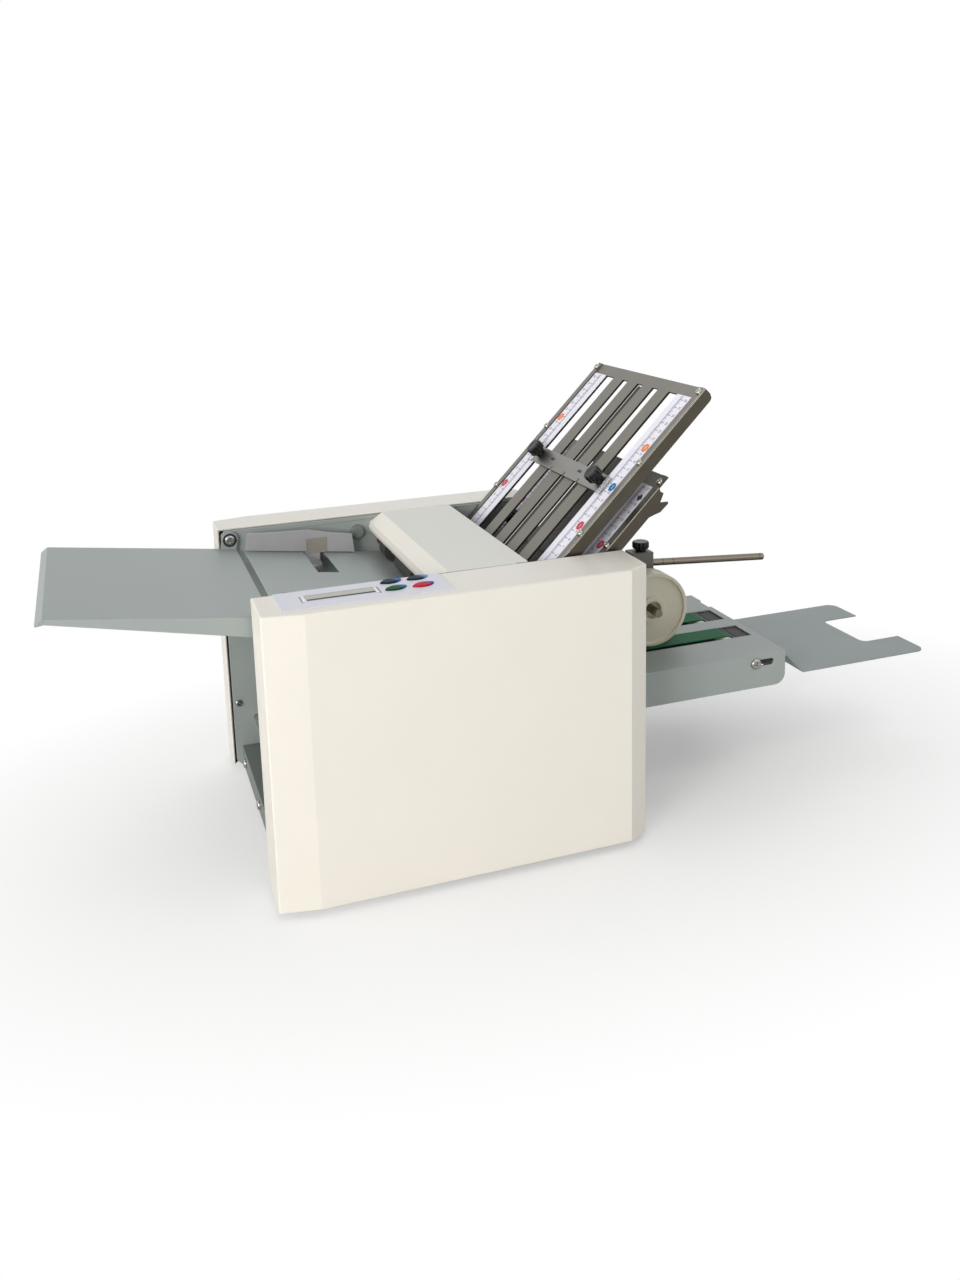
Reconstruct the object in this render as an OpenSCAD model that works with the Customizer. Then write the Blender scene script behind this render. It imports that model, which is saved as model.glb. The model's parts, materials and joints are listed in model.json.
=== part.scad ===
// Desktop paper folding machine with a feed tray, two fold plates and a belt delivery.
// Millimetres. +X runs from the feed tray to the delivery, +Z up, table at z = 0.

/* [Body] */
// Height of the covers' top above the table
top_z = 281; // [281:1:284]
// Length of the side covers
cover_l = 362; // [360:1:366]
// Width of the near cover, which holds the controls
near_cover_w = 62; // [60:1:66]
// Width of the far cover, which hides the gears
far_cover_w = 46; // [44:1:50]
// Clear width between the two covers
inner_w = 248; // [248:1:252]
// Wall thickness of the covers
cover_wall = 2.5; // [2:0.1:3]
// Length of the bevelled left end of each cover
bevel_l = 36.5; // [30:0.5:40]
// Depth of the bevelled left end of each cover
bevel_d = 7; // [5:0.5:9]
// Length of the bevelled right end of each cover
nose_l = 21; // [16:0.5:26]
// Depth of the bevelled right end of each cover
nose_d = 11.2; // [8:0.2:13]

/* [Frame] */
// Thickness of the two side frames
frame_t = 3; // [2.5:0.1:3]
// Height of the rubber feet
foot_h = 6; // [5:0.5:7]
// Radius of the rubber feet
foot_r = 11; // [9:0.5:12]
// Height of the folded base plate
base_h = 23; // [20:1:26]
// Sheet thickness of the base plate
base_t = 2; // [1.5:0.1:2.5]
// Radius of the steel cross rods
rod_r = 4; // [3.5:0.1:4]

/* [Feed tray] */
// Slope of the feed tray and the lift plate
feed_tilt = 7.5; // [7:0.1:8]
// Length of the feed tray from its hinge to its lip
tray_l = 184; // [170:1:190]
// Width of the feed tray
tray_w = 236; // [232:1:236]
// Sheet thickness of the tray
tray_t = 1.5; // [1.2:0.1:2]
// Drop from the hinge to the tray's surface
tray_drop = 10; // [9.5:0.1:10.5]
// Radius of the tray's two hinge ears
ear_r = 9; // [8:0.5:10]
// Depth of the tray's side flange at its hinge end
flange_deep = 20; // [18:0.5:22]
// Depth of the tray's side flange at its free end
flange_thin = 5; // [4:0.5:8]

/* [Side guides] */
// Thickness of a guide plate
guide_t = 2; // [1.5:0.1:2.5]
// Clear width between the guides at their widest
guide_gap = 212; // [208:1:212]
// Way that each guide slides inward
guide_travel = 55; // [40:1:55]

/* [Rollers] */
// Distance between neighbouring fold rollers
pitch = 22; // [22:1:22]
// Radius of the fold rollers
roller_r = 10.85; // [10.7:0.01:10.85]
// Radius of the roller journals
journal_r = 5; // [4.5:0.1:5]
// Radius of the feed roller's rubber
feed_r = 12; // [11.8:0.1:12]
// Teeth of each fold roller's gear, of module 1
roller_teeth = 22; // [22:1:22]
// Teeth of the feed shaft's gear
feed_teeth = 34; // [32:1:36]
// Radius of the driven pulley on the fourth roller
big_pulley_r = 25; // [22:0.5:26]
// Radius of the motor pulley
motor_pulley_r = 10; // [9:0.5:12]
// Radius of the motor's can
motor_r = 30; // [26:1:32]

/* [Fold plates] */
// Slope of both fold plates
plate_angle = 45; // [45:1:45]
// Width of a fold plate
plate_w = 240; // [238:0.5:240]
// Upper end of the upper fold plate, along its slope
upper_u1 = 213.5; // [208:0.5:220]
// Upper end of the lower fold plate, along its slope
lower_u1 = 124.6; // [122:0.2:126]
// Sheet thickness of the plates
plate_t = 0.8; // [0.7:0.1:1.3]
// Gap for the paper inside a plate
paper_gap = 0.8; // [0.7:0.1:2.8]
// Width of a bar of the slotted plate
bar_w = 22; // [20:0.5:26]
// Width of the three middle slots
slot_w = 12.5; // [9:0.5:13]
// Depth of a plate's side flanges
plate_flange = 12.5; // [11:0.1:12.5]
// Width of a ruler strip
ruler_w = 27; // [24:0.5:27]

/* [Stops] */
// Rest position of the upper stop bar's lower edge
upper_stop_u = 69.5; // [60:0.5:90]
// Rest position of the lower stop bar's lower edge
lower_stop_u = -6; // [-8:0.5:20]
// Breadth of a stop bar along the slope
stop_b = 20.5; // [18:0.5:22]
// Radius of the clamping knobs
knob_r = 9; // [8:0.5:10]

/* [Conveyor] */
// Height of the conveyor deck above the table
deck_z = 136.4; // [136.4:0.1:136.4]
// Right end of the conveyor deck
deck_x1 = 570.3; // [568:0.1:572]
// Depth of the deck's side flanges
deck_flange = 38; // [34:1:40]
// Radius of the two belt rollers
belt_roller_r = 10; // [9:0.1:10]
// Width of each belt
belt_w = 26; // [24:1:27]
// How far each drum reaches past the near edge of its belt
drum_lip = 4; // [2:0.5:5]
// Distance between the two belts' middles
belt_gap = 57; // [54:1:60]
// Radius of the press wheels
wheel_r = 41.5; // [38:0.5:41.5]
// Width of the press wheels
wheel_w = 22; // [20:1:24]

/* [Extension tray] */
// Right end of the extension tray
ext_x1 = 770; // [750:1:780]
// Width of the extension tray
ext_w = 172.6; // [160:0.2:172.6]
// Height of the extension tray's flat part above the table
ext_z = 101.5; // [96:0.5:106]
// Width of the notch between the tray's two forks
notch_w = 77; // [70:1:90]
// Depth of the notch
notch_l = 50; // [40:1:60]

/* [Controls] */
// Length of the leaf-shaped buttons
leaf_l = 21.5; // [20:0.5:22]
// Width of the leaf-shaped buttons
leaf_w = 11; // [10:0.5:11]
// Travel of the buttons
button_travel = 1; // [0.5:0.1:1]

/* [Clearances] */
// Radial clearance of shafts and pins
fit = 0.05; // [0.03:0.01:0.08]
// Gap between pieces that move past each other
gap = 0.3; // [0.2:0.05:0.3]

/* [Hidden] */
$fn = 48;

// Across the machine
near_out = -(near_cover_w + inner_w + far_cover_w) / 2;
near_in = near_out + near_cover_w;
far_in = near_in + inner_w;
far_out = far_in + far_cover_w;
near_face = near_in + frame_t;
far_face = far_in - frame_t;
yc = (near_in + far_in) / 2;
base_z = foot_h;
frame_top = top_z - 2.3;

// Feed side
hinge = [12.5, 269.5];
lip = [-tray_l - 6, -tray_drop - 6];
lift_pin = [32, 251];
lift_top = 5.75;
lift_l = 152.5;
guide_rod = [100, 229];
spring_x = 150;
ledge_z = 205;
spring_top = 238.6;

// Centre of the whole length, from the tray's lip to the extension tray's end
x_min = hinge[0] + lip[0] * cos(feed_tilt) + lip[1] * sin(feed_tilt) - 0.8;
mid_x = (x_min + ext_x1) / 2;

// Roller positions: a staircase of five, each one pitch from the last
r1 = [250, 243];
rollers = [r1, r1 + [0, -pitch], r1 + [pitch, -pitch], r1 + [pitch, -2 * pitch], r1 + [2 * pitch, -2 * pitch]];
feed = [184, 249.2];
motor_c = [120, 95];

// Gears of module 1
gear_y0 = far_in + 3;
gear_y1 = far_in + 9;
idler_teeth = ceil(norm(feed - r1) - roller_teeth / 2 - feed_teeth / 2) + 1;
idler_to_feed = (feed_teeth + idler_teeth) / 2;
idler_to_r1 = (roller_teeth + idler_teeth) / 2;
fr = r1 - feed;
idler_a = (pow(idler_to_feed, 2) - pow(idler_to_r1, 2) + pow(norm(fr), 2)) / (2 * norm(fr));
idler_h = sqrt(pow(idler_to_feed, 2) - pow(idler_a, 2));
idler = feed + idler_a * fr / norm(fr) + idler_h * [-fr[1], fr[0]] / norm(fr);

// Phase that lets gear b mesh with gear a; angles run from +x towards +z
function bearing(a, b) = atan2(b[1] - a[1], b[0] - a[0]);
function mesh_phase(a, b, na, nb, phase_a) =
    bearing(a, b) + 180 + (bearing(a, b) - phase_a) * na / nb + 180 / nb;
ph1 = 0;
ph2 = mesh_phase(rollers[0], rollers[1], roller_teeth, roller_teeth, ph1);
ph3 = mesh_phase(rollers[1], rollers[2], roller_teeth, roller_teeth, ph2);
ph4 = mesh_phase(rollers[2], rollers[3], roller_teeth, roller_teeth, ph3);
ph5 = mesh_phase(rollers[3], rollers[4], roller_teeth, roller_teeth, ph4);
ph_idler = mesh_phase(r1, idler, roller_teeth, idler_teeth, ph1);
ph_feed = mesh_phase(idler, feed, idler_teeth, feed_teeth, ph_idler);
phases = [ph1, ph2, ph3, ph4, ph5];

// Roller length and bushes
barrel_y0 = near_face + 3.5;
barrel_y1 = far_face - 3.5;
near_end = near_in - 2;
bush_r = 6.95;
bush_flange = 8;
small_belt_r = 12;
conveyor_pulley_y0 = gear_y1 + 3;

// Fold plates, in a frame that leans at plate_angle; u runs up the slope, v out of it
upper_o = r1 + [54.4, 38.4];
lower_o = upper_o + [pitch, -pitch];
u0 = -56;
bar_u0 = -40;
plate_y0 = yc - plate_w / 2;
plate_y1 = yc + plate_w / 2;
back_v = -plate_t - paper_gap;
bar_pitch = bar_w + slot_w;
wide_y0 = slot_w / 2 + 2 * bar_w + slot_w;
wide_y1 = 82;
ruler_y1 = wide_y1 + ruler_w;
screw_o = 115.5;
upper_screws = [25, 115.5, 207.5];
lower_screws = [-38, 34, 116];
pin_v = -plate_flange - 3 - gap;
pin_us = [-30, 0];
stud_r = 2;
stud_top = 11.5;
knob_v = 2.4 + gap;

// Conveyor
drive_c = [282, deck_z + 1 - belt_roller_r - 1.2];
front_c = [533, drive_c[1]];
deck_x0 = 262;
deck_y0 = -92;
deck_y1 = 108;
deck_t = 1.5;
flange_z = deck_z - deck_flange;
belt_top = deck_z + 1;
belt_ys = [yc - belt_gap / 2, yc + belt_gap / 2];
channel_rods = [[268, 106], [345, 106]];

// Press wheels
rod_pivot = [352, 229];
rod_tilt = 4.3;
rod_len = 254;
wheel_c = [443, belt_top + gap + wheel_r];
wheel_shaft_r = 4.5;
near_wheel_y = -19;
far_wheel_y = 2 * yc - near_wheel_y;

// Extension tray
ext_y0 = yc - 0.3 - ext_w / 2;
ext_y1 = ext_y0 + ext_w;
tongue_z = 124;
tongue_x0 = 552;
ramp_x0 = 581;
ramp_x1 = 604;

// Controls
panel_x0 = 19;
panel_x1 = 172.5;
panel_y0 = near_out + 12.4;
panel_y1 = near_in - 1;
panel_t = 0.8;
board_z = 262;
board_t = 1.6;
button_ps = [[125.3, -124.2], [124.8, -144.4], [150.5, -123.5], [150, -145]];
button_turn = 12;
inlet_x = 52;
switch_x = 82;
socket_z = 45;

// ---------- shared shapes ----------

// Puts the machine's length around x = 0
module place() {
    translate([-mid_x, 0, 0])
        children();
}

// Cylinder along y at p = [x, z]
module y_cyl(p, r, y0, y1) {
    translate([p[0], y1, p[1]])
        rotate([90, 0, 0])
            cylinder(h = y1 - y0, r = r);
}

// Prism along y of a profile drawn in x and z
module y_prism(y0, y1) {
    translate([0, y1, 0])
        rotate([90, 0, 0])
            linear_extrude(height = y1 - y0)
                children();
}

// Flat strip of thickness t from p to q
module strip(p, q, t) {
    d = q - p;
    translate(p)
        rotate(atan2(d[1], d[0]))
            translate([0, -t / 2])
                square([norm(d), t]);
}

// Bent sheet: strips through all points with round bends
module bent(points, t) {
    for (i = [0 : len(points) - 2])
        strip(points[i], points[i + 1], t);
    for (i = [1 : len(points) - 2])
        translate(points[i])
            circle(d = t, $fn = 24);
}

// Block between two corners
module block(a, b) {
    translate(a)
        cube(b - a);
}

// Frame of the sloped feed parts, with its origin at p
module on_feed(p) {
    translate([p[0], 0, p[1]])
        rotate([0, feed_tilt, 0])
            children();
}

// Frame of a fold plate, with its origin at o
module on_plate(o) {
    translate([o[0], 0, o[1]])
        rotate([0, -plate_angle, 0])
            children();
}

// Round bar outline with equal ends at p and q
module stadium(p, q, r) {
    translate(p)
        circle(r = r);
    translate(q)
        circle(r = r);
    strip(p, q, 2 * r);
}

// Gear outline of module 1: tooth k spans root, pitch and tip circles
function tooth_point(n, k, a, r, phase) =
    [r * cos(phase + k * 360 / n + a), r * sin(phase + k * 360 / n + a)];
function deg_of(w, r) = w / r * 180 / PI;

module gear_outline(n, phase) {
    rp = n / 2;
    ra = rp + 0.95;
    rd = rp - 1.25;
    at = deg_of(0.3, ra);
    ap = deg_of(0.66, rp);
    ad = deg_of(0.95, rd);
    polygon([
        for (k = [0 : n - 1])
            for (s = [[-ad, rd], [-ap, rp], [-at, ra], [at, ra], [ap, rp], [ad, rd]])
                tooth_point(n, k, s[0], s[1], phase)
    ]);
}

module gear(p, n, phase, y0, y1) {
    y_prism(y0, y1)
        translate(p)
            gear_outline(n, phase);
}

// Flanged belt pulley
module pulley(p, r, y0, y1) {
    y_cyl(p, r, y0, y1);
    y_cyl(p, r + 2.5, y0, y0 + 1);
    y_cyl(p, r + 2.5, y1 - 1, y1);
}

// ---------- frame ----------

module frame_outline() {
    polygon([
        [10, base_z], [352, base_z], [358, base_z + 6], [358, frame_top - 8], [350, frame_top],
        [8, frame_top], [4, frame_top - 4], [4, base_z + 6]
    ]);
}

module side_frame(y0, y1) {
    difference() {
        y_prism(y0, y1)
            frame_outline();
        for (p = concat(rollers, [feed, drive_c]))
            y_cyl(p, bush_r + fit, y0 - 1, y1 + 1);
        for (p = concat([guide_rod, rod_pivot, [30, 60], [200, 60], [330, 60]], channel_rods))
            y_cyl(p, rod_r + fit, y0 - 1, y1 + 1);
        y_cyl(lift_pin, 3 + fit, y0 - 1, y1 + 1);
        y_cyl(hinge, 3 + fit, y0 - 1, y1 + 1);
        y_cyl([261, 274], 2.5 + fit, y0 - 1, y1 + 1);
        y_cyl([10, 80], 2.5 + fit, y0 - 1, y1 + 1);
    }
}

// Studs that carry the two fold plates
module plate_studs(y0, y1) {
    for (o = [upper_o, lower_o])
        on_plate(o)
            for (u = pin_us)
                y_cyl([u, pin_v], 3, y0, y1);
}

module near_side_frame() {
    color("slategray")
        place() {
            difference() {
                side_frame(near_in, near_face);
                y_cyl(motor_c, 8, near_in - 1, near_face + 1);
            }
            plate_studs(near_face - 0.5, near_face + 5);
            block([spring_x - 10, near_face - 0.5, ledge_z - 2], [spring_x + 10, near_face + 33, ledge_z]);
        }
}

module far_side_frame() {
    color("slategray")
        place() {
            side_frame(far_face, far_in);
            plate_studs(far_face - 5, far_face + 0.5);
            y_cyl([154, 262], 8, far_face - 4, far_face + 0.5);
            y_cyl([154, 262], 6.5, far_face - 6, far_face - 3);
            y_cyl(idler, 6, far_in - 0.5, gear_y0 - gap);
            y_cyl(idler, 3, far_in - 0.5, gear_y1 + 2);
            block([spring_x - 10, far_face - 33, ledge_z - 2], [spring_x + 10, far_face + 0.5, ledge_z]);
        }
}

module base_plate() {
    color("dimgray")
        place()
            difference() {
                block([11, near_face, base_z], [350, far_face, base_z + base_h]);
                block([41, near_face + base_t, base_z - 1], [320, far_face - base_t, base_z + base_h - base_t]);
                block(
                    [11 + base_t, near_face + base_t, base_z + base_t],
                    [350 - base_t, far_face - base_t, base_z + base_h - base_t]
                );
            }
}

module rubber_feet() {
    color("black")
        place()
            for (x = [28, 333])
                for (y = [yc - 106, yc + 106])
                    translate([x, y, 0]) {
                        cylinder(h = 1, r1 = foot_r - 1, r2 = foot_r);
                        translate([0, 0, 1])
                            cylinder(h = foot_h - 1, r = foot_r);
                    }
}

module cross_rods() {
    color("silver")
        place() {
            for (p = concat([guide_rod, rod_pivot, [30, 60], [200, 60], [330, 60]], channel_rods))
                y_cyl(p, rod_r, near_in, far_in);
            y_cyl(lift_pin, 3, near_in, far_in);
        }
}

// Round screw head with a slot, on a face that looks along -y
module y_screw(p, r, y0, y1, depth) {
    difference() {
        y_cyl(p, r, y0, y1);
        block([p[0] - r, y0 - 1, p[1] - 0.5], [p[0] + r, y0 + depth, p[1] + 0.5]);
    }
}

module frame_bolts() {
    color("silver")
        place() {
            for (y = [yc - 98, yc, yc + 98])
                translate([11, y, 18])
                    rotate([0, -90, 0])
                        cylinder(h = 3, r1 = 5, r2 = 4);
            // Tray pivots with their washers
            y_cyl(hinge, 3, near_in, near_face + 4.5);
            y_cyl(hinge, 7, near_face, near_face + 3 - fit);
            y_cyl(hinge, 5.5, near_face + 4.5 + fit, near_face + 7);
            y_cyl(hinge, 3, near_face + 4, near_face + 5);
            y_cyl(hinge, 3, far_face - 4.5, far_in);
            y_cyl(hinge, 7, far_face - 3 + fit, far_face);
            y_screw(hinge, 5.5, far_face - 7, far_face - 4.5 - fit, 1);
            y_cyl(hinge, 3, far_face - 5, far_face - 4);
            y_cyl([10, 80], 2.5, far_face - 0.5, far_in);
            y_screw([10, 80], 4, far_face - 2.5, far_face, 1);
            // Axle screws of the conveyor's front roller
            y_screw(front_c, 6, deck_y0 - 3, deck_y0, 1);
            y_cyl(front_c, 6, deck_y1, deck_y1 + 3);
        }
}

module bush(p, y0, y1, yf) {
    difference() {
        union() {
            y_cyl(p, bush_r, y0, y1);
            y_cyl(p, bush_flange, min(yf, yf + 1.5), max(yf, yf + 1.5));
        }
        y_cyl(p, journal_r + fit, min(y0, yf) - 1, max(y1, yf) + 3);
    }
}

module roller_bushes() {
    color("peru")
        place()
            for (p = concat(rollers, [feed, drive_c])) {
                bush(p, near_in, near_face, near_in - 1.5);
                bush(p, far_face, far_in, far_in);
            }
}

// ---------- covers ----------

module near_plan(w) {
    polygon([
        [w, near_out + bevel_d + w], [bevel_l, near_out + w], [cover_l - nose_l - w / 4, near_out + w],
        [cover_l - w, near_out + nose_d + w], [cover_l - w, near_in], [w, near_in]
    ]);
}

module far_plan(w) {
    polygon([
        [w, far_out - bevel_d - w], [bevel_l, far_out - w], [cover_l - nose_l - w / 4, far_out - w],
        [cover_l - w, far_out - nose_d - w], [cover_l - w, far_in], [w, far_in]
    ]);
}

module shell(z1) {
    translate([0, 0, base_z])
        linear_extrude(height = z1 - base_z)
            children();
}

module leaf_outline(grow) {
    big = (pow(leaf_l / 2, 2) + pow(leaf_w / 2, 2)) / leaf_w;
    intersection() {
        translate([0, big - leaf_w / 2])
            circle(r = big + grow);
        translate([0, leaf_w / 2 - big])
            circle(r = big + grow);
    }
}

module leaf(p, z0, z1, grow) {
    translate([p[0], p[1], z0])
        rotate([0, 0, button_turn])
            linear_extrude(height = z1 - z0)
                leaf_outline(grow);
}

display_a = [40.7, -148.4];
display_b = [108.8, -131];
board_bosses = [for (x = [28, 164]) for (y = [-160, -127]) [x, y]];

module near_cover() {
    color("cornsilk")
        place() {
            difference() {
                shell(top_z)
                    near_plan(0);
                translate([0, 1, -1])
                    shell(top_z - cover_wall + 1)
                        near_plan(cover_wall);
                translate([0, 0, -1])
                    shell(top_z - cover_wall + 1)
                        near_plan(cover_wall);
                block(
                    [display_a[0] + 2, display_a[1] + 2, top_z - 5],
                    [display_b[0] - 2, display_b[1] - 2, top_z + 1]
                );
                for (p = button_ps)
                    leaf(p, top_z - 5, top_z + 1, gap);
            }
            for (p = board_bosses)
                translate([p[0], p[1], board_z + board_t])
                    cylinder(h = top_z - cover_wall + 0.5 - board_z - board_t, r = 3);
        }
}

module far_cover() {
    color("cornsilk")
        place()
            difference() {
                shell(top_z)
                    far_plan(0);
                translate([0, -1, -1])
                    shell(top_z - cover_wall + 1)
                        far_plan(cover_wall);
                translate([0, 0, -1])
                    shell(top_z - cover_wall + 1)
                        far_plan(cover_wall);
                block([inlet_x - 16, far_out - 5, socket_z - 13], [switch_x + 9, far_out + 1, socket_z + 13]);
            }
}

// ---------- feed side ----------

module tray_sheet() {
    polygon([
        [8, -tray_drop], [-tray_l - 0.6, -tray_drop], lip + [-0.5, 0.1], lip + [0.5, -0.96],
        [-tray_l, -tray_drop - tray_t], [8, -tray_drop - tray_t]
    ]);
}

module tray_flange() {
    polygon([
        [-tray_l + 1, -tray_drop - tray_t / 2], [-ear_r, -tray_drop - tray_t / 2], [-ear_r, 0], [ear_r, 0],
        [ear_r, -tray_drop - 2], [8, -tray_drop - 3], [8, -tray_drop - flange_deep],
        [-tray_l + 1, -tray_drop - flange_thin]
    ]);
    circle(r = ear_r);
}

module feed_tray() {
    y0 = yc - tray_w / 2;
    y1 = yc + tray_w / 2;
    color("darkgray")
        place()
            on_feed(hinge)
                difference() {
                    union() {
                        y_prism(y0, y1)
                            tray_sheet();
                        for (y = [y0, y1 - tray_t])
                            y_prism(y, y + tray_t)
                                tray_flange();
                    }
                    y_cyl([0, 0], 3 + fit, y0 - 1, y1 + 1);
                }
}

module lift_plate() {
    y0 = yc - 114;
    y1 = yc + 114;
    color("darkgray")
        place()
            difference() {
                on_feed(lift_pin) {
                    block([-6, y0, lift_top - tray_t], [lift_l, y1, lift_top]);
                    for (y = [y0 + 2, y1 - 8])
                        y_cyl([0, 0], lift_top - 0.25, y, y + 6);
                    for (y = [y0, y1 - tray_t])
                        block([20, y, lift_top - 7], [lift_l - 20, y + tray_t, lift_top]);
                }
                y_cyl(lift_pin, 3 + fit, near_in, far_in);
                // Side notches that the guides slide in
                for (y = [[y0 - 1, yc - 28], [yc + 28, y1 + 1]])
                    block([guide_rod[0] - 10, y[0], 220], [guide_rod[0] + 13, y[1], 270]);
            }
}

module lift_springs() {
    color("silver")
        place()
            for (y = [near_face + 23, far_face - 23])
                translate([spring_x, y, ledge_z])
                    difference() {
                        cylinder(h = spring_top - ledge_z, r = 6);
                        translate([0, 0, -1])
                            cylinder(h = spring_top - ledge_z + 2, r = 4.8);
                    }
}

module side_guide() {
    inner = yc + guide_gap / 2;
    mid = guide_rod[0];
    difference() {
        union() {
            y_prism(inner, inner + guide_t) {
                polygon([
                    [28, 258.5], [28, 262], [30, 277], [62, 275.5], [97, 273.8], [122, 268], [145, 264], [147, 243]
                ]);
                translate([mid - 8, 230])
                    square([16, 24]);
            }
            block([mid - 9, inner - 7, 221], [mid + 9, inner + 9, 237]);
        }
        y_cyl(guide_rod, rod_r + fit, inner - 8, inner + 10);
    }
}

module far_side_guide() {
    color("darkgray")
        place()
            side_guide();
}

module near_side_guide() {
    color("darkgray")
        place()
            translate([0, 2 * yc, 0])
                mirror([0, 1, 0])
                    side_guide();
}

module hood() {
    t = 2;
    z = top_z - t / 2;
    color("cornsilk")
        place() {
            y_prism(near_in + gap, far_in - gap)
                translate([184, top_z - t])
                    square([68, t]);
            y_prism(near_face + gap, far_face - gap) {
                bent([[264, z], [184, z], [170, 271.5], [168.5, 266], [170, 261]], t);
                strip([184, z], [200, z], t);
            }
            for (y = [near_face + gap, far_face - gap - t])
                y_prism(y, y + t) {
                    translate([261, 274])
                        circle(r = 6);
                    polygon([[255, 274], [267, 274], [264, top_z - 1], [246, top_z - 1]]);
                }
            y_cyl([261, 274], 2.5, near_in, near_face + 1);
            y_cyl([261, 274], 2.5, far_face - 1, far_in);
        }
}

module infeed_guide() {
    color("lightgray")
        place()
            y_prism(near_face, far_face)
                bent([feed + [3, -19.8], feed + [17.5, -19.8], feed + [20.5, -13.2], r1 + [-13, -11.4]], 1.2);
}

module separator_pad() {
    color("saddlebrown")
        place()
            y_prism(yc - 20, yc + 20)
                polygon([
                    feed + [4, -19.2], feed + [16, -19.2], feed + [16, -6.2], feed + [12, -6.1], feed + [4, -12.6]
                ]);
}

module feed_shaft() {
    color("silver")
        place() {
            y_cyl(feed, journal_r, near_end, gear_y1);
            gear(feed, feed_teeth, ph_feed, gear_y0, gear_y1);
            for (y = [yc - 34, yc + 30])
                y_cyl(feed, 8, y, y + 4);
        }
}

module feed_rollers() {
    color("dimgray")
        place()
            for (y = [[yc - 30, yc + 30], [yc - 92, yc - 70], [yc + 70, yc + 92]])
                difference() {
                    y_cyl(feed, feed_r, y[0], y[1]);
                    y_cyl(feed, journal_r, y[0] - 1, y[1] + 1);
                }
}

// ---------- fold rollers ----------

module fold_roller(i) {
    p = rollers[i];
    y_cyl(p, journal_r, i == 3 ? near_in - 12 : near_end, i == 3 ? conveyor_pulley_y0 + 8 : gear_y1);
    y_cyl(p, roller_r, barrel_y0, barrel_y1);
    gear(p, roller_teeth, phases[i], gear_y0, gear_y1);
}

module fold_roller_1() {
    color("gray")
        place()
            fold_roller(0);
}

module fold_roller_2() {
    color("gray")
        place()
            fold_roller(1);
}

module fold_roller_3() {
    color("gray")
        place()
            fold_roller(2);
}

module fold_roller_4() {
    color("gray")
        place() {
            fold_roller(3);
            pulley(rollers[3], big_pulley_r, near_in - 12, near_in - 3);
            pulley(rollers[3], small_belt_r, conveyor_pulley_y0, conveyor_pulley_y0 + 8);
        }
}

module fold_roller_5() {
    color("gray")
        place()
            fold_roller(4);
}

module idler_gear() {
    color("ivory")
        place()
            difference() {
                gear(idler, idler_teeth, ph_idler, gear_y0, gear_y1);
                y_cyl(idler, 3 + fit, gear_y0 - 1, gear_y1 + 1);
                difference() {
                    y_cyl(idler, idler_teeth / 2 - 4, gear_y0 + 4, gear_y1 + 1);
                    y_cyl(idler, 7, gear_y0 + 3, gear_y1 + 2);
                }
            }
}

module lower_guide() {
    arc_r = 13;
    r3 = rollers[2];
    color("lightgray")
        place()
            y_prism(near_face, far_face) {
                bent([for (a = [212 : 6.5 : 238]) r3 + arc_r * [cos(a), sin(a)]], 1.2);
                bent([for (p = [[-9.6, -9.6], [-26, -26], [-20, -41], [-6, -56], [2, -79]]) r3 + p], 1.2);
            }
}

// ---------- drive ----------

module motor() {
    color("dimgray")
        place()
            difference() {
                union() {
                    y_cyl(motor_c, motor_r, near_face, near_face + 78);
                    y_cyl(motor_c, motor_r - 3, near_face + 77, near_face + 84);
                    y_cyl(motor_c, 10, near_face + 83, near_face + 90);
                    y_cyl(motor_c, 8, near_in, near_face + 1);
                }
                y_cyl(motor_c, 4 + fit, near_in - 1, near_face + 10);
                for (a = [0 : 60 : 300])
                    y_cyl(motor_c + 19 * [cos(a), sin(a)], 4, near_face + 81, near_face + 85);
            }
}

module motor_pulley() {
    color("silver")
        place() {
            y_cyl(motor_c, 4, near_in - 14, near_face + 9);
            pulley(motor_c, motor_pulley_r, near_in - 12, near_in - 3);
        }
}

module belt_loop(a, ra, b, rb, t) {
    difference() {
        hull() {
            translate(a)
                circle(r = ra + 0.1 + t);
            translate(b)
                circle(r = rb + 0.1 + t);
        }
        hull() {
            translate(a)
                circle(r = ra + 0.1);
            translate(b)
                circle(r = rb + 0.1);
        }
    }
}

module drive_belts() {
    color("black")
        place() {
            y_prism(near_in - 10.8, near_in - 4.2)
                belt_loop(motor_c, motor_pulley_r, rollers[3], big_pulley_r, 2);
            y_prism(conveyor_pulley_y0 + 1.3, conveyor_pulley_y0 + 6.7)
                belt_loop(rollers[3], small_belt_r, drive_c, small_belt_r, 1.6);
        }
}

// ---------- conveyor ----------

module deck_side() {
    difference() {
        translate([deck_x0, flange_z])
            square([deck_x1 - deck_x0, deck_z - flange_z]);
        translate([deck_x1 - 12, flange_z])
            difference() {
                translate([0, -1])
                    square([13, 13]);
                translate([0, 12])
                    circle(r = 12);
            }
    }
}

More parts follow.
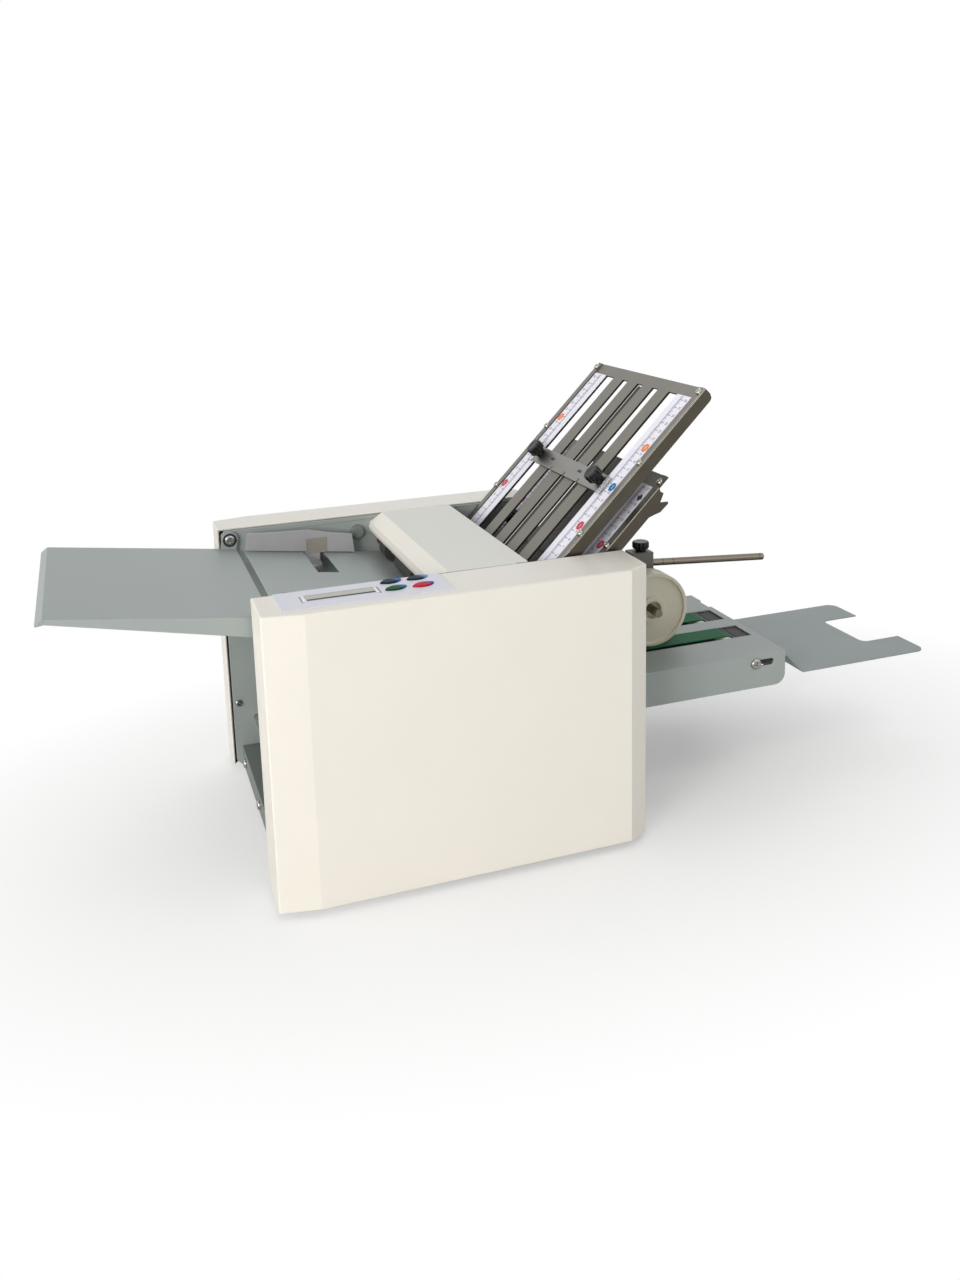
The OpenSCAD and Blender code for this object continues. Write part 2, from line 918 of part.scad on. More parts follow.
module conveyor_channel() {
    color("darkgray")
        place()
            difference() {
                union() {
                    difference() {
                        y_prism(deck_y0, deck_y1)
                            deck_side();
                        block([deck_x0 - 1, deck_y0 + deck_t, flange_z - 1], [deck_x1 + 1, deck_y1 - deck_t, deck_z - deck_t]);
                    }
                    // Rails that hold the extension tray
                    for (y = [deck_y0 + 1, deck_y1 - 19])
                        for (z = [tongue_z - tray_t - 0.2 - 1.3, tongue_z + 0.2])
                            block([546, y, z], [deck_x1 - 1, y + 18, z + 1.3]);
                }
                for (y = belt_ys)
                    block([268, y - belt_w / 2 - drum_lip - 1, deck_z - 5], [562, y + belt_w / 2 + 3, deck_z + 1]);
                block([deck_x1 - 3, deck_y1 - 46, deck_z - 2], [deck_x1 + 1, deck_y1 - 23, deck_z + 1]);
                for (p = channel_rods)
                    y_cyl(p, rod_r + fit, deck_y0 - 1, deck_y1 + 1);
                y_cyl(drive_c, journal_r + 0.5, deck_y0 - 1, deck_y1 + 1);
                y_prism(deck_y0 - 1, deck_y1 + 1)
                    stadium(front_c, front_c + [19, 0], 3.5 + fit);
            }
}

module conveyor_belts() {
    color("seagreen")
        place()
            for (y = belt_ys)
                y_prism(y - belt_w / 2, y + belt_w / 2)
                    difference() {
                        stadium(drive_c, front_c, belt_roller_r + 1.2);
                        stadium(drive_c, front_c, belt_roller_r + 0.1);
                    }
}

module belt_drums(p) {
    for (y = belt_ys)
        y_cyl(p, belt_roller_r, y - belt_w / 2 - drum_lip, y + belt_w / 2 + 0.7);
}

module conveyor_drive_roller() {
    color("silver")
        place() {
            y_cyl(drive_c, journal_r, near_end, conveyor_pulley_y0 + 8);
            belt_drums(drive_c);
            pulley(drive_c, small_belt_r, conveyor_pulley_y0, conveyor_pulley_y0 + 8);
        }
}

module conveyor_front_roller() {
    color("white")
        place() {
            y_cyl(front_c, 3.5, deck_y0 + 0.1, deck_y1 - 0.1);
            belt_drums(front_c);
        }
}

// ---------- press wheels ----------

module on_rod() {
    translate([rod_pivot[0], 0, rod_pivot[1]])
        rotate([0, rod_tilt, 0])
            children();
}

// Round bar along the rod's own axis
module rod_cyl(x0, x1, r) {
    translate([x0, yc, 0])
        rotate([0, 90, 0])
            cylinder(h = x1 - x0, r = r);
}

module press_rod() {
    color("silver")
        place()
            on_rod()
                difference() {
                    union() {
                        rod_cyl(5, rod_len - 1, rod_r);
                        translate([rod_len - 1, yc, 0])
                            rotate([0, 90, 0])
                                cylinder(h = 1, r1 = rod_r, r2 = rod_r - 1);
                        y_cyl([0, 0], 9, yc - 9, yc + 9);
                        rod_cyl(6, 16, 6.5);
                    }
                    y_cyl([0, 0], rod_r + fit, yc - 10, yc + 10);
                    for (x = [120.5, 134, 247])
                        difference() {
                            rod_cyl(x, x + 1.4, rod_r + 1);
                            rod_cyl(x - 1, x + 3, rod_r - 0.6);
                        }
                }
}

module wheel_carriage() {
    color("darkgray")
        place()
            difference() {
                union() {
                    block([433, yc - 10, 215], [458, yc + 10, 236]);
                    block([437, yc - 6, wheel_c[1]], [449, yc + 6, 216]);
                    y_cyl(wheel_c, 8, yc - 6, yc + 6);
                    y_cyl(wheel_c, wheel_shaft_r, near_wheel_y - wheel_w / 2 - 12.6, far_wheel_y + wheel_w / 2 + 12.6);
                }
                on_rod()
                    rod_cyl(70, 120, rod_r + fit);
                translate([447, yc, 225])
                    cylinder(h = 12, r = 2 + fit);
            }
}

module carriage_knob() {
    color("black")
        place()
            translate([447, yc, 0]) {
                translate([0, 0, 236 + 0.1])
                    difference() {
                        union() {
                            cylinder(h = 10, r = knob_r + 0.3);
                            translate([0, 0, 10])
                                cylinder(h = 1, r1 = knob_r + 0.3, r2 = knob_r - 0.7);
                        }
                        for (a = [0 : 30 : 330])
                            rotate([0, 0, a])
                                translate([knob_r + 1, 0, -1])
                                    cylinder(h = 13, r = 1.4, $fn = 16);
                    }
                translate([0, 0, 227])
                    cylinder(h = 10, r = 2);
            }
}

module press_wheel(y) {
    h = wheel_w / 2;
    difference() {
        y_cyl(wheel_c, wheel_r, y - h, y + h);
        // Dished faces with a raised rim
        for (s = [[y - h - 1, y - h + 3], [y + h - 3, y + h + 1]])
            difference() {
                y_cyl(wheel_c, wheel_r - 4, s[0], s[1]);
                y_cyl(wheel_c, 15, s[0] - 1, s[1] + 1);
            }
        y_cyl(wheel_c, 9.5, y - h - 1, y - 3);
        y_cyl(wheel_c, 9.5, y + 3, y + h + 1);
        y_cyl(wheel_c, wheel_shaft_r + fit, y - h - 1, y + h + 1);
    }
}

module near_press_wheel() {
    color("antiquewhite")
        place()
            press_wheel(near_wheel_y);
}

module far_press_wheel() {
    color("antiquewhite")
        place()
            press_wheel(far_wheel_y);
}

// ---------- extension tray ----------

module fork_outline() {
    difference() {
        translate([ramp_x1 - 1, ext_y0])
            square([ext_x1 - ramp_x1 + 1, ext_w]);
        translate([ext_x1 - notch_l, ext_y0 + (ext_w - notch_w) / 2]) {
            translate([8, 0])
                square([notch_l, notch_w]);
            translate([0, 8])
                square([notch_l, notch_w - 16]);
            for (y = [8, notch_w - 8])
                translate([8, y])
                    circle(r = 8);
        }
        for (s = [[ext_y0, 0], [ext_y1, -12]])
            translate([ext_x1 - 12, s[0] + s[1]])
                difference() {
                    square([13, 12]);
                    translate([0, 12 + s[1]])
                        circle(r = 12);
                }
    }
}

module extension_tray() {
    color("darkgray")
        place() {
            translate([0, 0, ext_z - tray_t])
                linear_extrude(height = tray_t)
                    fork_outline();
            y_prism(ext_y0, ext_y1)
                bent(
                    [
                        [ramp_x1 + 6, ext_z - tray_t / 2], [ramp_x1, ext_z - tray_t / 2],
                        [ramp_x0, tongue_z - tray_t / 2], [tongue_x0, tongue_z - tray_t / 2]
                    ],
                    tray_t
                );
        }
}

// ---------- controls ----------

module control_panel() {
    color("lavender")
        place()
            difference() {
                block([panel_x0, panel_y0, top_z], [panel_x1, panel_y1, top_z + panel_t]);
                block(
                    [display_a[0] + 2, display_a[1] + 2, top_z - 1],
                    [display_b[0] - 2, display_b[1] - 2, top_z + 2]
                );
                for (p = button_ps)
                    leaf(p, top_z - 1, top_z + 2, gap);
            }
}

module display() {
    z = top_z + panel_t;
    color("silver")
        place() {
            difference() {
                block([display_a[0], display_a[1], z], [display_b[0], display_b[1], z + 0.8]);
                block([display_a[0] + 3, display_a[1] + 3, z + 0.3], [display_b[0] - 3, display_b[1] - 3, z + 1]);
            }
            block(
                [display_a[0] + 2.2, display_a[1] + 2.2, board_z + board_t],
                [display_b[0] - 2.2, display_b[1] - 2.2, z + 0.1]
            );
        }
}

module control_board() {
    color("darkgreen")
        place() {
            block([22, -166, board_z], [170, -121, board_z + board_t]);
            for (p = button_ps) {
                block([p[0] - 3, p[1] - 3, board_z + board_t - 0.1], [p[0] + 3, p[1] + 3, board_z + board_t + 2.5]);
                translate([p[0], p[1], board_z + board_t])
                    cylinder(h = 3.5, r = 1.75);
            }
        }
}

module button(p) {
    place() {
        leaf(p, top_z - cover_wall - 0.5, top_z + 2.4, 0);
        leaf(p, top_z - cover_wall - 0.5 - 1.5, top_z - cover_wall - 0.2, 1.2);
        translate([p[0], p[1], board_z + board_t + 3.5 + button_travel + 0.2])
            cylinder(h = top_z - cover_wall - board_z - board_t - 3.5 - button_travel - 0.9, r = 2);
    }
}

module button_up() {
    color("steelblue")
        button(button_ps[0]);
}

module button_down() {
    color("seagreen")
        button(button_ps[1]);
}

module button_start() {
    color("midnightblue")
        button(button_ps[2]);
}

module button_stop() {
    color("firebrick")
        button(button_ps[3]);
}

module power_inlet() {
    color("black")
        place()
            difference() {
                union() {
                    block([inlet_x - 18, far_out, socket_z - 15], [switch_x + 11, far_out + 1.5, socket_z + 15]);
                    block(
                        [inlet_x - 15.7, far_out - 24, socket_z - 12.7],
                        [switch_x + 8.7, far_out + 0.1, socket_z + 12.7]
                    );
                }
                difference() {
                    block([inlet_x - 12.5, far_out - 17, socket_z - 8.5], [inlet_x + 12.5, far_out + 2, socket_z + 8.5]);
                    for (p = [[-7, -2], [0, 2], [7, -2]])
                        block(
                            [inlet_x + p[0] - 1, far_out - 18, socket_z + p[1] - 2],
                            [inlet_x + p[0] + 1, far_out - 2, socket_z + p[1] + 2]
                        );
                }
                block([switch_x - 6.5, far_out - 10, socket_z - 10], [switch_x + 6.5, far_out + 2, socket_z + 10]);
                translate([switch_x - 7.5, far_out - 4, socket_z])
                    rotate([0, 90, 0])
                        cylinder(h = 15, r = 1.5 + fit);
            }
}

module power_switch() {
    color("black")
        place()
            translate([switch_x, far_out - 4, socket_z])
                rotate([-8, 0, 0]) {
                    translate([-6.2, 0, 0])
                        rotate([90, 0, 90])
                            linear_extrude(height = 12.4)
                                polygon([[-4, -3], [-4, 3], [2, 9.2], [6, 8.8], [4.5, 0], [6, -8.8], [2, -9.2]]);
                    translate([-7.4, 0, 0])
                        rotate([0, 90, 0])
                            cylinder(h = 14.8, r = 1.5);
                }
}

// ---------- fold plates ----------

// Slots of the grid between two heights on the slope
module grid_slots(ua, ub, v0, v1) {
    for (o = [-bar_pitch, 0, bar_pitch])
        block([ua, yc + o - slot_w / 2, v0], [ub, yc + o + slot_w / 2, v1]);
    for (s = [[-wide_y1, -wide_y0], [wide_y0, wide_y1]])
        block([ua, yc + s[0], v0], [ub, yc + s[1], v1]);
}

module front_sheet(u1, bar_u1, screws) {
    difference() {
        union() {
            block([u0, plate_y0, -plate_t], [u1, plate_y1, 0]);
            for (s = [[plate_y0, yc - ruler_y1 - 2], [yc + ruler_y1 + 2, plate_y1]])
                block([u0, s[0], -0.1], [u1, s[1], 1.2]);
        }
        grid_slots(bar_u0, bar_u1, -plate_t - 1, 2);
        for (u = screws)
            for (s = [-1, 1])
                translate([u, yc + s * screw_o, -2])
                    cylinder(h = 6, r = 1.6);
    }
}

module backing_sheet(u1, bar_u1, screws) {
    difference() {
        union() {
            block([u0, plate_y0 + 1.6, back_v - plate_t], [u1 - 2, plate_y1 - 1.6, back_v]);
            for (s = [[plate_y0 + 1.6, plate_y0 + 13], [plate_y1 - 13, plate_y1 - 1.6]])
                block([u0, s[0], back_v - 0.1], [u1 - 2, s[1], -plate_t]);
        }
        grid_slots(bar_u0, bar_u1, back_v - plate_t - 1, back_v + 1);
    }
    for (u = screws)
        for (s = [-1, 1])
            translate([u, yc + s * screw_o, 0]) {
                translate([0, 0, -plate_t - 0.1])
                    cylinder(h = 1.2 + plate_t + 0.2, r = 1.5);
                difference() {
                    translate([0, 0, 1.2])
                        cylinder(h = 1.5, r = 3.5);
                    block([-4, -0.4, 2], [4, 0.4, 3]);
                }
            }
}

module ruler_strips(u1) {
    for (s = [[-ruler_y1, -wide_y1], [wide_y1, ruler_y1]])
        block([u0, yc + s[0], 0], [u1, yc + s[1], 0.6]);
}

module plate_flange_outline(u1) {
    polygon([
        [u0, 0], [u1, 0], [u1, -7], [u1 - 1.8, -plate_flange + 1.6], [u1 - 3.8, -plate_flange + 0.5],
        [u1 - 6, -plate_flange], [u0, -plate_flange]
    ]);
}

module hooked_flange_outline() {
    polygon([
        [u0, 0], [111, 0], [109, -3.4], [110, -7.6], [101, -11.4], [107, -17.5], [105.6, -19.1],
        [94, -18.5], [88, -15.2], [82, -plate_flange], [u0, -plate_flange]
    ]);
}

module plate_sides() {
    for (y = [plate_y0, plate_y1 - 1.5])
        y_prism(y, y + 1.5)
            children();
}

module upper_fold_plate() {
    color("rosybrown")
        place()
            on_plate(upper_o) {
                front_sheet(upper_u1, upper_u1 - 13.5, upper_screws);
                plate_sides()
                    plate_flange_outline(upper_u1);
            }
}

module upper_plate_backing() {
    color("rosybrown")
        place()
            on_plate(upper_o) {
                backing_sheet(upper_u1, upper_u1 - 13.5, upper_screws);
                // Paper sensing wire in the middle slot
                translate([-36, yc + 3.2, back_v - 0.15])
                    rotate([0, 90, 0])
                        cylinder(h = upper_u1 - 6 + 36, r = 0.75, $fn = 16);
            }
}

module upper_plate_rulers() {
    color("ghostwhite")
        place()
            on_plate(upper_o)
                ruler_strips(upper_u1 - 13.5);
}

module lower_fold_plate() {
    color("rosybrown")
        place()
            on_plate(lower_o) {
                front_sheet(lower_u1, lower_u1 - 16, lower_screws);
                plate_sides()
                    hooked_flange_outline();
            }
}

module lower_plate_backing() {
    color("rosybrown")
        place()
            on_plate(lower_o)
                backing_sheet(lower_u1 - 14, lower_u1 - 16, [-38, 34]);
}

module lower_plate_rulers() {
    color("ghostwhite")
        place()
            on_plate(lower_o)
                ruler_strips(lower_u1 - 16);
}

// Stop bar: a plate on the grid, fingers through the slots and a clamp plate below
module stop_bar(u) {
    low = back_v - plate_t - gap;
    difference() {
        union() {
            block([u, yc - 86, 0.9], [u + stop_b, yc + 86, 2.4]);
            // Clear cursors over the rulers
            for (s = [-1, 1])
                block([u - 1, min(s * 84, s * 94) + yc, 0.9], [u + stop_b - 1, max(s * 84, s * 94) + yc, 2.2]);
            for (o = [31.4, -1.9, -37.3])
                block([u, yc + o - 1.6, low - 1], [u + 6, yc + o + 1.6, 1]);
            for (s = [-1, 1])
                block([u + 8, yc + s * 66 - 1.5, low - 1], [u + 16, yc + s * 66 + 1.5, 1]);
            block([u + 1, yc - 81, low - 1.5], [u + stop_b - 2, yc + 81, low]);
            // Studs that the clamping knobs turn on
            for (s = [-1, 1])
                translate([u + 12.5, yc + s * 76, low - 0.1])
                    cylinder(h = stud_top - low + 0.1, r = stud_r);
        }
        for (o = [41.6, -28.9])
            translate([u + 12, yc + o, 0])
                block([-1.5, -4, 0], [1.5, 4, 3]);
    }
}

module stop_knob(u, s, h) {
    translate([u + 12.5, yc + s * 76, knob_v])
        difference() {
            union() {
                cylinder(h = h - knob_v - 1, r = knob_r);
                translate([0, 0, h - knob_v - 1])
                    cylinder(h = 1, r1 = knob_r, r2 = knob_r - 1);
            }
            for (a = [0 : 30 : 330])
                rotate([0, 0, a])
                    translate([knob_r + 0.7, 0, 3])
                        cylinder(h = h, r = 1.4, $fn = 16);
            translate([0, 0, -1])
                cylinder(h = stud_top + gap - knob_v + 1, r = stud_r + fit);
        }
}

module upper_stop_bar() {
    color("silver")
        place()
            on_plate(upper_o)
                stop_bar(upper_stop_u);
}

module upper_stop_knob_near() {
    color("black")
        place()
            on_plate(upper_o)
                stop_knob(upper_stop_u, -1, 17);
}

module upper_stop_knob_far() {
    color("black")
        place()
            on_plate(upper_o)
                stop_knob(upper_stop_u, 1, 17);
}

module lower_stop_bar() {
    color("silver")
        place()
            on_plate(lower_o)
                stop_bar(lower_stop_u);
}

module lower_stop_knob_near() {
    color("black")
        place()
            on_plate(lower_o)
                stop_knob(lower_stop_u, -1, 16);
}

module lower_stop_knob_far() {
    color("black")
        place()
            on_plate(lower_o)
                stop_knob(lower_stop_u, 1, 16);
}

base_plate();
near_side_frame();
far_side_frame();
near_cover();
far_cover();
cross_rods();
rubber_feet();
frame_bolts();
roller_bushes();
infeed_guide();
separator_pad();
lower_guide();
conveyor_channel();
conveyor_belts();
motor();
drive_belts();
control_panel();
display();
control_board();
power_inlet();
feed_tray();
lift_plate();
lift_springs();
near_side_guide();
far_side_guide();
hood();
feed_shaft();
feed_rollers();
fold_roller_1();
fold_roller_2();
fold_roller_3();
fold_roller_4();
fold_roller_5();
idler_gear();
conveyor_drive_roller();
conveyor_front_roller();
motor_pulley();
press_rod();
wheel_carriage();
carriage_knob();
near_press_wheel();
far_press_wheel();
extension_tray();
power_switch();
button_up();
button_down();
button_start();
button_stop();
upper_fold_plate();
upper_plate_backing();
upper_plate_rulers();
upper_stop_bar();
upper_stop_knob_near();
upper_stop_knob_far();
lower_fold_plate();
lower_plate_backing();
lower_plate_rulers();
lower_stop_bar();
lower_stop_knob_near();
lower_stop_knob_far();
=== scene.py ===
"""Looks of a desktop paper folding machine: covers, feed tray, fold plates and belt delivery."""

import json
import logging
import math
from dataclasses import dataclass, field
from enum import Enum
from typing import Any, Callable, Iterable, Sequence

import bmesh
import bpy
from mathutils import Matrix, Vector
from mathutils.geometry import tessellate_polygon

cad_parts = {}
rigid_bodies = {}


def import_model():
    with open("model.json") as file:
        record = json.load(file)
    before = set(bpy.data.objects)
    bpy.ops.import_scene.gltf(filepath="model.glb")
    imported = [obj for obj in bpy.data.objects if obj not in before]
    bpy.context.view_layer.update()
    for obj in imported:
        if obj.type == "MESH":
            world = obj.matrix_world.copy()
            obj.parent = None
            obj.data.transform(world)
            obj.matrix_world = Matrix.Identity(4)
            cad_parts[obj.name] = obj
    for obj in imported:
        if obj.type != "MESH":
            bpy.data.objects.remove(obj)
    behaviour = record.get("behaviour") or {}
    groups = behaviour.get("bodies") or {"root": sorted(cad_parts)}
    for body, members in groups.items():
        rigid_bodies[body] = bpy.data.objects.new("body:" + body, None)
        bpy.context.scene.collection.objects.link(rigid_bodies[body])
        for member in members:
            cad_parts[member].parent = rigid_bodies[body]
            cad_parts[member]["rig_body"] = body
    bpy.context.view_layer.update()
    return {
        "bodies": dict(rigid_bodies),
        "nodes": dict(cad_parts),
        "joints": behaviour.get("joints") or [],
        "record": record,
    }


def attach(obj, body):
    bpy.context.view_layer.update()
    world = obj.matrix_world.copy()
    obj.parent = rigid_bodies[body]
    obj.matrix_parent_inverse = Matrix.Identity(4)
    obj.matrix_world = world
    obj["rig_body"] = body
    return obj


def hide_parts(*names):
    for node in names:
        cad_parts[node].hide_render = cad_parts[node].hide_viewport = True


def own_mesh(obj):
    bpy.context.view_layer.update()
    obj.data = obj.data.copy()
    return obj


logging.basicConfig(level=logging.INFO, format="%(name)s: %(message)s")
LOG = logging.getLogger("folding_machine")

MM = 0.001
# The frame's origin and the middle of the paper's path, in machine millimetres
MID_X = 295.6185
MID_Y = 8
# Screws that the feed tray folds on, and the conveyor's front axle, as x and z
TRAY_PIVOT = (12.5, 269.5)
FRONT_AXLE = (533, 126.2)
# Thickness of a printed line in millimetres
INK_MM = 0.05
# Size of the broad clouding, and the range that the sum of both noises keeps to
BROAD_MM = 55
NOISE_LOW, NOISE_HIGH = 0.7, 1.3
MIN_ROUGHNESS = 0.02
COAT_ROUGHNESS = 0.12
PLAIN_SPECULAR = 0.5
ROUND_STEPS = 32
SENSOR_MM = 36.0
Point2 = tuple[float, float]
Colour = tuple[float, float, float, float]
Corner = bmesh.types.BMVert
# Place along the slope, material slot, number and corners of a mark on a scale
Mark = tuple[float, int, str, int]


def linear(hex_colour: str, alpha: float = 1.0) -> Colour:
    """Turns an sRGB hex colour into linear values.

    Args:
        hex_colour: Six hex digits with a leading hash.
        alpha: Opacity of the colour.

    Returns:
        Linear red, green, blue and the alpha.
    """
    parts = [int(hex_colour[i : i + 2], 16) / 255 for i in (1, 3, 5)]
    lin = [c / 12.92 if c <= 0.04045 else ((c + 0.055) / 1.055) ** 2.4 for c in parts]
    return (lin[0], lin[1], lin[2], alpha)


def at(x: float, y: float, z: float) -> Vector:
    """Returns the frame point in metres of machine millimetres."""
    return Vector(((x - MID_X) * MM, y * MM, z * MM))


def add_node(
    tree: bpy.types.NodeTree,
    kind: str,
    settings: dict[str, Any] | None = None,
    **inputs: Any,
) -> bpy.types.Node:
    """Adds one shader node.

    Args:
        tree: The material's node tree.
        kind: Blender's name of the node type.
        settings: Properties of the node itself.
        **inputs: Socket names, with _ for a space, or s0, s1 for a place in the list;
            each is a plain value or an output socket to link.

    Returns:
        The new node.
    """
    node = tree.nodes.new(kind)
    for key, value in (settings or {}).items():
        setattr(node, key, value)
    for key, value in inputs.items():
        if key[0] == "s" and key[1:].isdigit():
            socket = node.inputs[int(key[1:])]
        else:
            socket = node.inputs[key.replace("_", " ")]
        if isinstance(value, bpy.types.NodeSocket):
            tree.links.new(value, socket)
        else:
            socket.default_value = value
    return node


def noise(
    tree: bpy.types.NodeTree,
    vector: bpy.types.NodeSocket,
    size_mm: float,
    detail: float,
    rough: float,
) -> bpy.types.NodeSocket:
    """Returns a noise pattern.

    Args:
        tree: The material's node tree.
        vector: Coordinates in metres.
        size_mm: Size of the pattern.
        detail: Layers of finer noise.
        rough: Strength of the finer layers.

    Returns:
        The pattern's socket.
    """
    return add_node(
        tree, "ShaderNodeTexNoise", Vector=vector, Scale=1.0 / (size_mm * MM), Detail=detail,
        Roughness=rough,
    ).outputs["Fac"]


def spread(
    tree: bpy.types.NodeTree, value: bpy.types.NodeSocket, low: float, high: float
) -> bpy.types.NodeSocket:
    """Returns the sum of both noises, spread between two values."""
    return add_node(
        tree, "ShaderNodeMapRange", Value=value, From_Min=NOISE_LOW, From_Max=NOISE_HIGH,
        To_Min=low, To_Max=high,
    ).outputs["Result"]


def ray_share(tree: bpy.types.NodeTree, *kinds: str) -> bpy.types.NodeSocket:
    """Returns 1 for rays of the named kinds and 0 for the rest."""
    rays = add_node(tree, "ShaderNodeLightPath")
    share = rays.outputs[kinds[0]]
    for kind in kinds[1:]:
        share = add_node(
            tree, "ShaderNodeMath", {"operation": "MAXIMUM"}, s0=share, s1=rays.outputs[kind]
        ).outputs[0]
    return share


class Axis(Enum):
    """Directions that a brushed or ground surface runs in."""

    LENGTH = (1.0, 30.0, 30.0)
    WIDTH = (30.0, 1.0, 30.0)


# ---------------------------------------------------------------- finishes


@dataclass(frozen=True)
class Finish:
    """A surface with a colour, a gloss and a fine pattern; grain is its size and depth in mm."""

    name: str
    colour: str
    roughness: float
    metallic: float = 0.0
    ior: float = 1.5
    grain: Point2 = (1.2, 0.01)
    mottle: float = 0.03
    gloss_spread: float = 0.06
    stretch: tuple[float, float, float] = (1.0, 1.0, 1.0)
    turn_deg: tuple[float, float, float] = (0.0, 0.0, 0.0)
    coat: float = 0.0
    specular: float = PLAIN_SPECULAR

    def paint(self, tree: bpy.types.NodeTree, coords: bpy.types.NodeSocket) -> Any:
        """Returns the colour, plain or as a socket, before the mottling."""
        return linear(self.colour)

    def build(self) -> bpy.types.Material:
        """Builds the material once and returns it.

        Returns:
            The finished material.
        """
        found = bpy.data.materials.get(self.name)
        if found:
            return found
        material = bpy.data.materials.new(self.name)
        material.use_nodes = True
        tree = material.node_tree
        tree.nodes.clear()
        coords = add_node(tree, "ShaderNodeTexCoord").outputs["Object"]
        turned = add_node(
            tree, "ShaderNodeMapping", Vector=coords,
            Rotation=tuple(math.radians(a) for a in self.turn_deg),
        ).outputs["Vector"]
        stretched = add_node(
            tree, "ShaderNodeMapping", Vector=turned, Scale=self.stretch
        ).outputs["Vector"]
        grain = noise(tree, stretched, self.grain[0], 3.0, 0.55)
        broad = noise(tree, coords, BROAD_MM, 4.0, 0.6)
        mixed = add_node(
            tree, "ShaderNodeMath", {"operation": "ADD"}, s0=grain, s1=broad
        ).outputs[0]
        value = spread(tree, mixed, 1.0 - self.mottle, 1.0 + self.mottle)
        shade = add_node(
            tree, "ShaderNodeHueSaturation", Color=self.paint(tree, coords), Value=value
        ).outputs["Color"]
        dull, keen = self.roughness + self.gloss_spread, self.roughness - self.gloss_spread
        gloss = spread(tree, mixed, max(MIN_ROUGHNESS, keen), dull)
        bump = add_node(
            tree, "ShaderNodeBump", Height=grain, Strength=0.6, Distance=self.grain[1] * MM
        ).outputs["Normal"]
        body = add_node(
            tree, "ShaderNodeBsdfPrincipled", Base_Color=shade, Roughness=gloss, Normal=bump,
            Metallic=self.metallic,
        )
        if not self.metallic:
            body.inputs["IOR"].default_value = self.ior
        if self.coat:
            body.inputs["Coat Weight"].default_value = self.coat
            body.inputs["Coat Roughness"].default_value = COAT_ROUGHNESS
        if self.specular != PLAIN_SPECULAR:
            body.inputs["Specular IOR Level"].default_value = self.specular
        self.adjust(body)
        add_node(tree, "ShaderNodeOutputMaterial", Surface=body.outputs["BSDF"])
        return material

    def adjust(self, body: bpy.types.Node) -> None:
        """Sets what only some finishes have."""


@dataclass(frozen=True)
class ClearSheet(Finish):
    """Cast acrylic: nearly invisible, with bright edges."""

    def adjust(self, body: bpy.types.Node) -> None:
        """Lets light through the sheet."""
        body.inputs["Transmission Weight"].default_value = 0.92


@dataclass(frozen=True)
class TwoToneKey(Finish):
    """A glossy key cap whose tip fades into blue: a painted reflection."""

    centre: Point2 = (0.0, 0.0)
    tip: str = "#3C6FB4"
    turn: float = 32.0

    def paint(self, tree: bpy.types.NodeTree, coords: bpy.types.NodeSocket) -> Any:
        """Returns a colour that runs from the key's own to the painted blue reflection at its tip
        along the leaf.
        """
        spot = at(self.centre[0], self.centre[1], 0)
        moved = add_node(
            tree, "ShaderNodeVectorMath", {"operation": "SUBTRACT"}, s0=coords, s1=tuple(spot)
        ).outputs[0]
        turned = add_node(
            tree, "ShaderNodeMapping", Vector=moved,
            Rotation=(0.0, 0.0, -math.radians(self.turn)),
        ).outputs["Vector"]
        along = add_node(tree, "ShaderNodeSeparateXYZ", Vector=turned).outputs["X"]
        place = add_node(
            tree, "ShaderNodeMapRange", Value=along, From_Min=1 * MM, From_Max=6 * MM
        ).outputs["Result"]
        return add_node(
            tree, "ShaderNodeMix", {"data_type": "RGBA"}, s0=place, s6=linear(self.colour),
            s7=linear(self.tip),
        ).outputs[2]


# Powder coat on the covers: satin, with a faint orange peel about a millimetre wide
COVER_COAT = Finish("powder_coat_cream", "#EDE9E0", 0.42, grain=(1.1, 0.02), mottle=0.012, coat=0.2)
# The hood's top shows a touch greyer in the photograph than its nose and the covers, so it wears a
# greyer copy of the cream coat: painted shade on the top
HOOD_TOP_SHADE_COAT = Finish("cream_coat_painted_shade", "#E2E1DA", 0.44, grain=(1.1, 0.02), mottle=0.012)
# Grey powder coat of the frame, the extension tray and the base: satin, a little clouded
FRAME_COAT = Finish("powder_coat_grey", "#9EA6A4", 0.44, grain=(1.0, 0.02), mottle=0.03)
TRAY_COAT = Finish("powder_coat_blue_grey", "#909A99", 0.46, grain=(1.0, 0.02), mottle=0.03)
BASE_COAT = Finish("powder_coat_dark_grey", "#757C7A", 0.5, grain=(0.9, 0.02), mottle=0.05)
# Zinc-passivated sheet of the side guides: a dull mauve grey
GUIDE_ZINC = Finish("passivated_zinc_sheet", "#A9A8AB", 0.45, grain=(0.8, 0.01), mottle=0.05)
# Cold-rolled stainless sheet, ground along the slope: brownish, with streaks a millimetre apart,
# coarser than the real ones so that they still show from a metre away
PLATE_STEEL = Finish(
    "ground_stainless_sheet", "#7C7972", 0.40, metallic=1.0, grain=(30.0, 0.006),
    mottle=0.10, gloss_spread=0.08, stretch=Axis.LENGTH.value, turn_deg=(0.0, 45.0, 0.0),
)
# Painted shade: a darker and browner copy of the same sheet for the bent-down sides, which show
# darker and browner
PLATE_SIDE_SHADE = Finish(
    "stainless_side_painted_shade", "#605B51", 0.36, metallic=1.0, grain=(30.0, 0.006),
    mottle=0.12, gloss_spread=0.08, stretch=Axis.LENGTH.value, turn_deg=(0.0, 45.0, 0.0),
)
# Cold-rolled strip of the stop bars: the same streaks, but greyer and lighter
STOP_STEEL = Finish(
    "cold_rolled_strip", "#8C8B87", 0.38, metallic=1.0, grain=(30.0, 0.005),
    mottle=0.08, gloss_spread=0.06, stretch=Axis.WIDTH.value,
)
# Painted shade, near black, on the sheared edges inside the slots, on the sheet behind them and in
# other dark gaps, so that the slots look deep
PAINTED_GAP_SHADE = Finish("painted_gap_shade", "#211F1C", 0.6, ior=1.47, grain=(0.6, 0.01), mottle=0.15)
